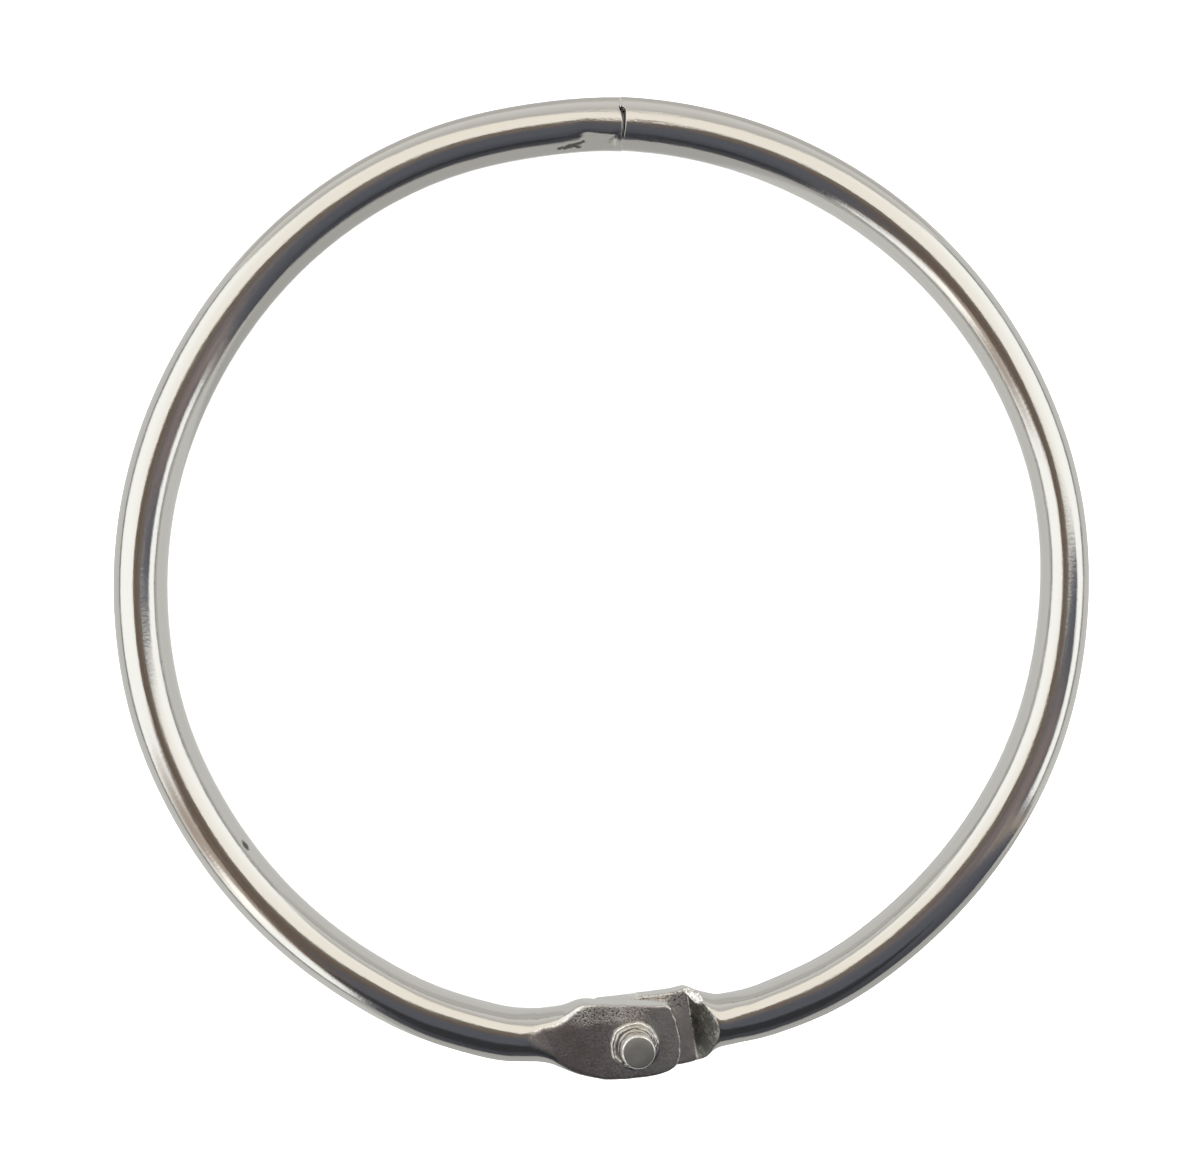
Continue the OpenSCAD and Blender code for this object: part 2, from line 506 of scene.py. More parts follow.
@dataclass(frozen=True)
class HingeMarks:
    """Where the press and the lap marked a hinge end, and where highlights and a sheen are painted on it.

    A depth is how near a point lies to a face or an edge to take its mark. A stretch is where a
    mark starts and how long it takes to come in, along s, u or their reverse.
    """

    face_depth: float = 0.035
    lap_depth: float = 0.06
    edge_depth: float = 0.085
    foot_depth: float = 0.07
    worn_depth: float = 0.05
    face_start: Stretch = (-9.3, 0.6)
    edge_start: Stretch = (-8.4, 0.8)
    shoulder_start: Stretch = (-0.1, 0.15)
    end_start: Stretch = (2.0, 0.7)
    upper_inward: Stretch = (0.2, 0.6)
    upper_back: Stretch = (2.6, 1.2)
    pit_inward: Stretch = (0.9, 1.2)
    pit_start: Stretch = (-6.2, 2.6)
    pit_end: Stretch = (-0.4, 2.6)
    sheen_tip: Stretch = (0.8, 1.8)
    sheen_root: Stretch = (6.6, 1.2)
    sheen_root_share: float = 0.15
    blush_middle: float = -4.6
    blush_length: float = 2.2
    blush_outward: Stretch = (-2.6, 1.8)
    edge_least: float = 0.3
    end_glint: float = 0.6
    foot_share: float = 0.85
    worn_share: float = 2.0

    def masks(
        self, hinge: HingeField, s: np.ndarray, u: np.ndarray, v: np.ndarray
    ) -> dict[str, np.ndarray]:
        """Masks that the finish reads on the hinge end.

        Args:
            hinge: Shape of the hinge end.
            s: Places along the ring from the rivet.
            u: Places outwards from the middle of the section.
            v: Heights over the plane of the ring.

        Returns:
            One array a mask, by its name.
        """
        parts = hinge.parts(s, u, v)
        _, press, lap, _, *corners = parts
        from_foot = s + hinge.sizes.shoulder_reach
        lapped = bell(lap, self.lap_depth)
        # Painted highlights along the rounded edges, the shoulder's foot and its corner plane
        edge = bell(np.sort(parts, axis=0)[-2], self.edge_depth) * ramp(s, *self.edge_start)
        if corners:
            worn_glint = bell(corners[0], self.worn_depth)
            foot = lapped * bell(from_foot - hinge.foot_skew * u, self.foot_depth)
            edge = np.clip(edge + self.foot_share * foot + self.worn_share * worn_glint, 0.0, 1.0)
            white_glint = worn_glint
        else:
            end = ramp(s, *self.end_start)
            upper = ramp(-u, *self.upper_inward) * ramp(-s, *self.upper_back)
            edge = edge * np.clip(self.edge_least + end + upper, 0.0, 1.0)
            white_glint = self.end_glint * end * edge
        pit_length = ramp(s, *self.pit_start) * (1.0 - ramp(s, *self.pit_end))
        # Painted sheen: the pressed face gets lighter towards its tip and towards its root
        face_sheen = ramp(s, *self.sheen_tip) + self.sheen_root_share * ramp(-s, *self.sheen_root)
        blush = bell(s - self.blush_middle, self.blush_length)
        return {
            "pressed": bell(press, self.face_depth) * ramp(s, *self.face_start),
            "lapped": lapped,
            "shoulder": lapped * ramp(-from_foot, *self.shoulder_start),
            "pitted": ramp(-u, *self.pit_inward) * pit_length,
            "face_sheen": np.clip(face_sheen, 0.0, 1.0),
            "blushed": blush * ramp(u, *self.blush_outward),
            "edge": edge,
            "white_glint": white_glint,
        }


@dataclass(frozen=True)
class SeamShape:
    """Outline of the two ends that meet at the seam, as it shows from the front.

    Each row is a place outwards from the middle of the wire, and how far the left and the right
    end stand back from the seam there, in millimetres. The rim of an end is rounded, but sharp
    near the outer and the inner side.
    """

    rows: tuple[tuple[float, float, float], ...] = (
        (-2.0, 0.22, -0.22),
        (-1.8, 0.21, -0.2),
        (-1.55, 0.18, -0.14),
        (-1.33, 0.28, -0.1),
        (-0.9, 0.25, -0.04),
        (-0.43, 0.26, -0.03),
        (0.1, 0.39, -0.06),
        (0.5, 0.54, -0.09),
        (0.7, 0.57, -0.34),
        (0.82, 0.5, -0.47),
        (2.0, 0.5, -0.48),
    )
    rim_round: float = 0.08
    outer_sharp: Stretch = (0.6, 0.8)
    outer_share: float = 0.9
    inner_sharp: Stretch = (1.75, 0.2)
    inner_share: float = 0.8

    def back(self, side: Side, out: np.ndarray) -> np.ndarray:
        """How far an end stands back at places outwards from the middle of the wire."""
        places, left, right = np.array(self.rows).T
        return np.interp(out, places, left if side is Side.LEFT else right)

    def rim_inset(self, along: np.ndarray, out: np.ndarray) -> np.ndarray:
        """How far the rounded rim lies inside the wire.

        Args:
            along: Distance of each point from the closing end.
            out: Distance outwards from the middle of the wire.

        Returns:
            The inset of each point.
        """
        depth = np.maximum(self.rim_round - along, 0.0)
        inset = self.rim_round - np.sqrt(np.maximum(self.rim_round**2 - depth**2, 0.0))
        inset = inset * (1.0 - self.outer_share * ramp(out, *self.outer_sharp))
        inset = inset * (1.0 - self.inner_share * ramp(-out, *self.inner_sharp))
        return np.where(along < self.rim_round, inset, 0.0)


@dataclass(frozen=True)
class ClosingTool:
    """Press, facet and tool scars behind the rounded end, and painted shade along the seam's tail.

    Lengths are in millimetres. A stroke runs between two places, each given by its distance from the end
    and its turn from the front in degrees, and its weight; the last two paint shade on the seam's tail.
    """

    sizes: RingSizes
    tilt: float = math.radians(61)
    press_depth: float = 0.16
    press_place: float = 3.0
    press_length: float = 1.5
    press_turn: float = math.radians(54.9)
    press_width: float = math.radians(35)
    facet_depth: float = 0.07
    facet_ease: float = 0.7
    ragged_slow: tuple[float, float, float] = (0.014, 8.0, 0.6)
    ragged_fast: tuple[float, float, float] = (0.022, 24.0, 3.0)
    ragged_depth: float = 0.025
    stroke_width: float = 0.2
    stroke_depth: float = 0.05
    scar_and_shade_strokes: tuple[tuple[Place, Place, float], ...] = (
        ((5.4, 73.0), (3.3, 64.0), 1.0),
        ((4.5, 67.0), (3.6, 78.0), 1.0),
        ((4.9, 75.0), (4.2, 72.0), 1.0),
        # the seam's tail: painted shade over a shallow dent
        ((0.25, 35.0), (0.5, 47.0), 0.62),
        ((0.5, 47.0), (1.05, 58.0), 0.7),
    )

    def scars_and_shade(self, along: np.ndarray, turn: np.ndarray) -> np.ndarray:
        """How deep the tool scarred each point, and where shade is painted on the seam's tail.

        Args:
            along: Distance of each point from the closing end.
            turn: Turn of each point from the front towards the inner side.

        Returns:
            The depths, 1 at the deepest.
        """
        scars_and_shade = np.zeros_like(along)
        unrolled = np.c_[along, turn * self.sizes.wire_r]
        scale = np.array([1.0, math.radians(1.0) * self.sizes.wire_r])
        for first, last, weight in self.scar_and_shade_strokes:
            start = first * scale
            step = last * scale - start
            rel = unrolled - start
            share = np.clip(rel @ step / (step @ step), 0.0, 1.0)
            apart = np.hypot(*(rel - share[:, None] * step).T)
            scars_and_shade = np.maximum(scars_and_shade, weight * bell(apart, self.stroke_width))
        return scars_and_shade

    def work(
        self, along: np.ndarray, out: np.ndarray, height: np.ndarray
    ) -> tuple[np.ndarray, np.ndarray, np.ndarray]:
        """Presses in the inner front of the wire behind the rounded end.

        Args:
            along: Distance of each point from the closing end.
            out: Distance outwards from the middle of the wire.
            height: Height over the plane of the ring.

        Returns:
            The new distances outwards and heights, and the depths of the scars and painted seam shade.
        """
        sizes = self.sizes
        turn = np.arctan2(-out, height)
        press = self.press_depth * bell(along - self.press_place, self.press_length)
        shrink = 1.0 - press * bell(turn - self.press_turn, self.press_width) / sizes.wire_r
        out, height = out * shrink, height * shrink
        slow_depth, slow_rate, slow_phase = self.ragged_slow
        fast_depth, fast_rate, fast_skew = self.ragged_fast
        ragged = slow_depth * np.sin(slow_rate * along + slow_phase)
        ragged = ragged + fast_depth * np.sin(fast_rate * along + fast_skew * turn)
        start = sizes.crimp_setback / 2
        here = ramp(along, start, self.facet_ease)
        here = here * (1.0 - ramp(along, start + sizes.crimp_l, self.facet_ease))
        face_out, face_up = -math.sin(self.tilt), math.cos(self.tilt)
        proud = out * face_out + height * face_up - (sizes.wire_r - press - self.facet_depth)
        proud = proud - ragged * bell(proud, self.ragged_depth)
        scars_and_shade = self.scars_and_shade(along, turn)
        push = np.maximum(proud, 0.0) * here + self.stroke_depth * scars_and_shade
        return out - face_out * push, height - face_up * push, scars_and_shade


@dataclass
class HalfRing:
    """One half of the ring: round wire with a pressed hinge end and a finished closing end.

    It is modelled as the left half is, with its lap behind, and the right half is then turned over.
    """

    side: Side
    sizes: RingSizes
    bends: tuple[Bend, ...] = ()
    seam: SeamShape = SeamShape()
    marks: HingeMarks = HingeMarks()
    section_points: int = 96
    rim_steps: int = 10
    closing_steps: int = 70
    plain_steps: int = 250
    hinge_steps: int = 330
    closing_reach: float = 6.0
    neck_margin: float = 1.5
    tip_stop: float = 0.996
    bend_margin: float = 0.6
    flat_ease: float = 2.0
    worked_reach: Stretch = (2.0, 5.0)
    peg_ease: float = 0.985
    end_tolerance: float = 1e-4
    merge_distance: float = 0.0004
    drill_sides: int = 96
    smooth_angle: float = math.radians(38)
    piece: bpy.types.Object | None = None

    @property
    def start(self) -> float:
        """Angle of the closing end round the ring's centre, before the half is turned over."""
        lean = self.sizes.seam_offset
        return math.pi / 2 - lean if self.side is Side.LEFT else math.pi / 2 + lean

    @property
    def hinge(self) -> HingeField:
        """Shape of this half's hinge end.

        Returns:
            The field.
        """
        if self.side is Side.LEFT:
            return HingeField(self.sizes)
        return HingeField(
            self.sizes,
            neck_start=7.3,
            neck_end=4.1,
            neck_power=1.0,
            neck_smooth=1.0,
            outer_room=0.14,
            inner_room=0.0,
            crown_share=1.06,
            square_power=7.0,
            square_ease=6.0,
            tip_blend=0.5,
            end_middle=-1.2,
            worn_corner=WornCorner(),
        )

    def build(self) -> bpy.types.Object:
        """Models the half and gives it its place in the frame.

        Returns:
            The finished object.
        """
        self._turn_wire()
        self._press_hinge_end()
        self._finish_closing_end()
        self._close_tip()
        self._drill()
        if self.side is Side.RIGHT:
            lift = Matrix.Translation((0, 0, 2 * self.sizes.ring_z * MM))
            self.piece.data.transform(lift @ Matrix.Rotation(math.pi, 4, "Y"))
        self._smooth()
        return self.piece

    def _turn_wire(self) -> None:
        """Adds a circle at the closing end and turns it round the ring's centre past the rivet."""
        deselect_all()
        sizes = self.sizes
        flat = Vector((math.cos(self.start), math.sin(self.start), 0.0)) * sizes.path_r
        bpy.ops.mesh.primitive_circle_add(
            vertices=self.section_points,
            radius=sizes.wire_r * MM,
            fill_type="NOTHING",
            location=(flat + Vector((0.0, 0.0, sizes.ring_z))) * MM,
            rotation=(math.pi / 2, 0, self.start),
        )
        self.piece = name_new("plated_" + self.side.value)
        rim = 2 * self.seam.rim_round / sizes.path_r
        closing = self.closing_reach / sizes.path_r - rim
        neck = (sizes.neck_reach + self.neck_margin) / sizes.paddle_r
        tip = sizes.tip_reach * math.pi / 2 / sizes.paddle_r
        plain = HINGE_ANGLE - neck - self.start - rim - closing
        angles = (rim, closing, plain, neck + tip)
        steps = (self.rim_steps, self.closing_steps, self.plain_steps, self.hinge_steps)
        turned = self.piece.modifiers.new("turned_wire", "SCREW")
        turned.axis = "Z"
        turned.angle = sum(angles)
        turned.steps = turned.render_steps = sum(steps)
        bpy.ops.object.modifier_apply(modifier=turned.name)
        gaps = np.repeat(np.divide(angles, steps), steps)
        stops = self.start + np.concatenate([[0.0], np.cumsum(gaps)])
        points = read_points(self.piece)
        _, radius, height = self._polar(points)
        rings = np.arange(len(points)) // self.section_points
        write_points(self.piece, self._place(stops[rings], radius, height))

    def _polar(self, points: np.ndarray) -> tuple[np.ndarray, np.ndarray, np.ndarray]:
        """Angle round the ring, radius from its centre and height over its plane."""
        angle = np.mod(np.arctan2(points[:, 1], points[:, 0]), 2 * math.pi)
        return angle, np.hypot(points[:, 0], points[:, 1]), points[:, 2] - self.sizes.ring_z

    def _place(self, angle: np.ndarray, radius: np.ndarray, height: np.ndarray) -> np.ndarray:
        """Points at angles, radii and heights over the plane of the ring."""
        return np.c_[radius * np.cos(angle), radius * np.sin(angle), height + self.sizes.ring_z]

    def _press_hinge_end(self) -> None:
        """Presses the last of the wire into the neck and flattened end, and keeps its marks."""
        sizes = self.sizes
        hinge = self.hinge
        angle, radius, height = self._polar(read_points(self.piece))
        along = (angle - HINGE_ANGLE) * sizes.paddle_r
        turn = np.arctan2(height, radius - sizes.path_r)
        near = along > -sizes.neck_reach
        tip_turn = np.clip(along / sizes.tip_reach, 0.0, math.pi / 2 * self.tip_stop)
        s = np.where(along > 0.0, sizes.tip_reach * np.sin(tip_turn), along)[near]
        u, v = hinge.skin(s, turn[near])
        angle[near] = HINGE_ANGLE + s / sizes.paddle_r
        radius[near] = hinge.middle(s) + u
        height[near] = v
        radius, height = self._bend(along, radius, height)
        write_points(self.piece, self._place(angle, radius, height))
        for name, values in self.marks.masks(hinge, s, u, v).items():
            kept = np.zeros(len(near))
            kept[near] = values
            store_mask(self.piece, name, kept)

    def _bend(
        self, along: np.ndarray, radius: np.ndarray, height: np.ndarray
    ) -> tuple[np.ndarray, np.ndarray]:
        """Bends, thins and flattens the wire as this half's bends say.

        Args:
            along: Distance of each point past the rivet.
            radius: Distance from the ring's centre.
            height: Height over the plane of the ring.

        Returns:
            The new radii and heights.
        """
        sizes = self.sizes
        flat = sum(bend.flat * bend.share(along) for bend in self.bends)
        trim = sum(bend.trim * bend.share(along) for bend in self.bends)
        shift = sum(bend.shift * bend.share(along) for bend in self.bends)
        free = ramp(-along, sizes.tip_reach - self.bend_margin, sizes.tip_reach)
        out = radius - sizes.path_r
        section = np.maximum(np.hypot(out, height), 1e-6)
        power = 2.0 + flat * ramp(-along, self.hinge.neck_start, self.flat_ease)
        square = np.abs(out / section) ** power + np.abs(height / section) ** power
        square = np.where(out < 0.0, square ** (-1.0 / power), 1.0)
        kept = 1.0 - trim * free / sizes.wire_d
        out = sizes.wire_r - (sizes.wire_r - out * square) * kept
        return sizes.path_r + out + shift * free, height * square * kept

    def _ring_out(self, open_ring: np.ndarray, rings: list[tuple[float, float, float]]) -> None:
        """Extrudes the open closing end ring by ring and closes it.

        Args:
            open_ring: True for each vertex of the open ring.
            rings: Share of the seam's outline, distance back from the seam and radius of each ring.
        """
        sizes = self.sizes
        flags = open_ring
        tangent = np.array([-math.sin(self.start), math.cos(self.start), 0.0])
        for follow, back, ring_r in rings:
            pick(self.piece, flags)
            bpy.ops.mesh.extrude_region_move(TRANSFORM_OT_translate={"value": (0, 0, 0)})
            flags = picked(self.piece)
            points = read_points(self.piece)
            _, radius, height = self._polar(points[flags])
            turn = np.arctan2(height, radius - sizes.path_r)
            slant = math.tan(sizes.peg_turn) * max(abs(back) - sizes.dome_rise, 0.0)
            out = ring_r * np.cos(turn)
            angle = np.full(len(out), self.start)
            flat = self._place(angle, sizes.path_r + out + slant, ring_r * np.sin(turn))
            depth = back + follow * self.seam.back(self.side, out)
            points[flags] = flat + tangent * depth[:, None]
            write_points(self.piece, points)
        pick(self.piece, flags)
        bpy.ops.mesh.edge_face_add()
        bpy.ops.object.mode_set(mode="OBJECT")

    def _end_rings(self) -> list[tuple[float, float, float]]:
        """Rings of the end's face, and of the left half's peg or the right half's socket.

        Returns:
            Share of the seam's outline, distance back from the seam and radius of each ring.
        """
        sizes = self.sizes
        left = self.side is Side.LEFT
        clearance = 0.0 if left else sizes.socket_clearance
        base = sizes.peg_d / 2 + clearance
        tip = sizes.peg_tip_d / 2 + clearance
        far = sizes.peg_l + clearance
        rings = [(1.0, 0.012, 1.9)]
        if left:
            bevel = tip / 3
            rings += [(1.0, 0.03, 1.6), (1.0, 0.05, 1.25), (0.0, 0.1, base)]
            rings += [(0.0, -0.1, base * self.peg_ease), (0.0, bevel - far, tip)]
            rings += [(0.0, bevel / 3 - far, tip - bevel / 3), (0.0, -far, tip - bevel)]
        else:
            rings += [(1.0, 0.03, 1.65), (1.0, 0.05, 1.35), (0.0, 0.2, base)]
            rings += [(0.0, 0.35, base * self.peg_ease), (0.0, far, tip), (0.0, far + 0.1, tip / 3)]
        return rings

    def _finish_closing_end(self) -> None:
        """Rounds the rim, works the end and gives the halves their peg and socket."""
        sizes = self.sizes
        angle, radius, height = self._polar(read_points(self.piece))
        along = (angle - self.start) * sizes.path_r
        out = radius - sizes.path_r
        grow = 1.0 - self.seam.rim_inset(along, out) / sizes.wire_r
        out, height = out * grow, height * grow
        scars_and_shade = np.zeros(len(along))
        if self.side is Side.LEFT:
            out, height, scars_and_shade = ClosingTool(sizes).work(along, out, height)
        fade = 1.0 - ease(along / self.closing_reach)
        back = self.seam.back(self.side, out) * fade
        shift = np.where(along < self.closing_reach, back, 0.0) / sizes.path_r
        write_points(self.piece, self._place(angle + shift, sizes.path_r + out, height))
        store_mask(self.piece, "worked", 1.0 - ramp(along, *self.worked_reach))
        # The scar mask also carries the painted shade along the seam's tail.
        store_mask(self.piece, "scar_and_shade", scars_and_shade)
        rings = self._end_rings()
        self._ring_out(np.abs(along) < self.end_tolerance, rings)
        faced = np.repeat([follow for follow, _, _ in rings], self.section_points)
        store_mask(self.piece, "seam", np.concatenate([np.zeros(len(along)), faced]))

    def _close_tip(self) -> None:
        """Closes the open end of the flattened tip and merges what lies on one place."""
        activate(self.piece)
        bpy.context.tool_settings.mesh_select_mode = (True, False, False)
        bpy.ops.object.mode_set(mode="EDIT")
        bpy.ops.mesh.select_all(action="DESELECT")
        bpy.ops.mesh.select_non_manifold(
            extend=False,
            use_wire=False,
            use_boundary=True,
            use_multi_face=False,
            use_non_contiguous=False,
            use_verts=False,
        )
        bpy.ops.mesh.edge_face_add()
        bpy.ops.mesh.select_all(action="SELECT")
        bpy.ops.mesh.remove_doubles(threshold=self.merge_distance * MM)
        bpy.ops.mesh.normals_make_consistent(inside=False)
        bpy.ops.object.mode_set(mode="OBJECT")

    def _drill(self) -> None:
        """Cuts the rivet's hole through the flattened end."""
        sizes = self.sizes
        left = self.side is Side.LEFT
        clearance = sizes.staked_clearance if left else sizes.running_clearance
        deselect_all()
        bpy.ops.mesh.primitive_cylinder_add(
            vertices=self.drill_sides,
            radius=(sizes.shank_d / 2 + clearance) * MM,
            depth=4 * sizes.wire_d * MM,
            location=(0, -sizes.pivot_r * MM, sizes.ring_z * MM),
        )
        drill = name_new("rivet_drill")
        activate(self.piece)
        cut = self.piece.modifiers.new("rivet_hole", "BOOLEAN")
        cut.operation = "DIFFERENCE"
        cut.solver = "EXACT"
        cut.object = drill
        bpy.ops.object.modifier_apply(modifier=cut.name)
        bpy.data.objects.remove(drill, do_unlink=True)

    def _smooth(self) -> None:
        """Smooths the shading and keeps each point's place along the unrolled wire."""
        activate(self.piece)
        bpy.ops.object.shade_smooth_by_angle(angle=self.smooth_angle)
        angle, radius, height = self._polar(read_points(self.piece))
        if self.side is Side.RIGHT:
            angle = np.where(angle > math.pi, angle - 2 * math.pi, angle)
        path_r = self.sizes.path_r
        store_places(self.piece, "unrolled", np.c_[angle * path_r, radius - path_r, height])

    def dress(self, material: bpy.types.Material) -> None:
        """Gives the half its finish and its place among the CAD bodies.

        Args:
            material: The finish.
        """
        self.piece.data.materials.clear()
        self.piece.data.materials.append(material)
        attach(self.piece, self.side.body)
        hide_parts(self.side.value)


@dataclass
class HingeRivet:
    """Rivet that joins the halves: a flat head behind, a rough staked collar and a cut stub in front.

    The rows of its profile are shares or millimetres, as profile() reads them. The burrs are waves
    round the collar.
    """

    sizes: RingSizes
    steps: int = 128
    head_rows: tuple[Place, ...] = ((0.14, 0.08), (0.04, 0.17), (0.0, 0.28))
    collar_rows: tuple[Place, ...] = (
        (0.86, 0.8),
        (0.72, 0.97),
        (0.58, 0.98),
        (0.42, 0.72),
        (0.26, 0.48),
        (0.1, 0.44),
        (0.0, 0.52),
    )
    burrs: Waves = ((0.045, 2, 0.7), (0.035, 5, 2.1), (0.02, 11, 0.0), (0.012, 23, 1.0))
    burr_share: float = 0.55
    lift_share: float = 0.5
    lift_waves: Waves = ((0.05, 7, 0.4),)
    stub_waves: Waves = ((0.008, 3, 0.5),)
    collar_wall: Stretch = (0.0, 0.12)
    collar_foot: Stretch = (-0.01, 0.05)
    collar_top: Stretch = (0.5, 0.2)
    lean: Place = (0.2, 0.03)
    lean_start: float = 0.2
    collar_shift: Place = (-0.1, 0.17)
    collar_share: float = 0.99
    cut_share: float = 0.82
    cut_rim: Stretch = (0.0, 0.08)
    cut_face: Stretch = (-0.03, 0.02)
    bright_end: Stretch = (-0.3, 0.1)
    smooth_angle: float = math.radians(50)
    piece: bpy.types.Object | None = None

    def profile(self) -> list[Place]:
        """Radius and height of each corner of the profile, from the back to the front.

        Returns:
            The corners, with small rounds at the edges that show.
        """
        sizes = self.sizes
        shank = sizes.shank_d / 2
        collar = sizes.collar_d / 2
        head = sizes.head_d / 2
        face = sizes.face_z
        lap = -face - sizes.running_clearance
        back = lap - sizes.head_t
        stub = face + sizes.stub_h
        wall = collar - shank
        bevel = shank / 8
        corners = [(head * 0.45, back), (head * 0.8, back + 0.02)]
        corners += [(head - inset, back + up) for inset, up in self.head_rows]
        corners += [(head, lap - 0.06), (head - 0.05, lap), (shank, lap), (shank, 0.0), (shank, face)]
        corners += [(collar * 0.99, face), (collar, face + sizes.collar_h * 0.12)]
        corners += [(collar * 0.995, face + sizes.collar_h * 0.42)]
        corners += [(shank + wall * out, face + sizes.collar_h * up) for out, up in self.collar_rows]
        corners += [(shank * 0.995, face + sizes.collar_h * 1.2), (shank * 0.985, stub - bevel * 1.5)]
        corners += [(shank * 0.975, stub - bevel), (shank - bevel * 0.7, stub - bevel * 0.3)]
        corners += [(shank - bevel * 1.05, stub - 0.02), (shank - bevel * 1.4, stub)]
        return corners + [(shank * 0.4, stub - 0.01)]

    def build(self) -> bpy.types.Object:
        """Draws a disc out along the profile and roughens the staked collar.

        Returns:
            The finished object.
        """
        sizes = self.sizes
        (last_r, first_z), *corners = self.profile()
        deselect_all()
        centre = Vector((0.0, -sizes.pivot_r, sizes.ring_z + first_z)) * MM
        bpy.ops.mesh.primitive_circle_add(
            vertices=self.steps, radius=last_r * MM, fill_type="NGON", location=centre
        )
        self.piece = name_new("staked_hinge_rivet")
        bpy.ops.object.mode_set(mode="EDIT")
        bpy.ops.mesh.select_mode(type="VERT")
        bpy.ops.mesh.select_all(action="SELECT")
        for corner_r, corner_z in corners:
            step = (sizes.ring_z + corner_z) * MM - centre.z
            bpy.ops.mesh.extrude_region_move(TRANSFORM_OT_translate={"value": (0, 0, step)})
            centre.z += step
            scale = corner_r / last_r
            bpy.ops.transform.resize(value=(scale, scale, 1.0), center_override=centre)
            last_r = corner_r
        bpy.ops.mesh.select_all(action="SELECT")
        bpy.ops.mesh.normals_make_consistent(inside=False)
        bpy.ops.object.mode_set(mode="OBJECT")
        self._roughen()
        activate(self.piece)
        bpy.ops.object.shade_smooth_by_angle(angle=self.smooth_angle)
        return self.piece

    def _roughen(self) -> None:
        """Works the collar and the stub out of round, and keeps the cut face and the painted highlights.
        """
        sizes = self.sizes
        points = read_points(self.piece)
        x, y = points[:, 0], points[:, 1] + sizes.pivot_r
        z = points[:, 2] - sizes.ring_z - sizes.face_z
        turn = np.arctan2(y, x)
        radius = np.hypot(x, y)
        shank = sizes.shank_d / 2
        burrs = ripple(turn, self.burrs)
        collar = ramp(radius - shank, *self.collar_wall) * ramp(z, *self.collar_foot)
        collar = collar * (1.0 - ramp(z, *self.collar_top))
        radius = radius * (1.0 + burrs * self.burr_share * collar)
        radius = radius * (1.0 - (1.0 - self.collar_share) * collar)
        up = ramp(z, self.lean_start, sizes.stub_h)
        worked = radius * (1.0 + up * ripple(turn, self.stub_waves))
        lean = np.outer(up, self.lean) + np.outer(collar, self.collar_shift)
        points[:, 0] = worked * np.cos(turn) + lean[:, 0]
        points[:, 1] = worked * np.sin(turn) - sizes.pivot_r + lean[:, 1]
        lift = self.lift_share * burrs + ripple(turn, self.lift_waves)
        points[:, 2] += collar * lift * sizes.collar_h
        write_points(self.piece, points)
        from_end = z - sizes.stub_h
        rim = ramp(radius - shank * self.cut_share, *self.cut_rim)
        cut = ramp(from_end, *self.cut_face) * (1.0 - rim)
        # Painted highlight on the staked collar and round the stub's end
        bright = collar + ramp(from_end, *self.bright_end) * (1.0 - cut)
        store_mask(self.piece, "pressed", cut)
        store_mask(self.piece, "edge", np.clip(bright, 0.0, 1.0))

    def dress(self, material: bpy.types.Material) -> None:
        """Gives the rivet its finish and its place among the CAD bodies.

        Args:
            material: The finish.
        """
        self.piece.data.materials.clear()
        self.piece.data.materials.append(material)
        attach(self.piece, "left_half")
        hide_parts("hinge_rivet")


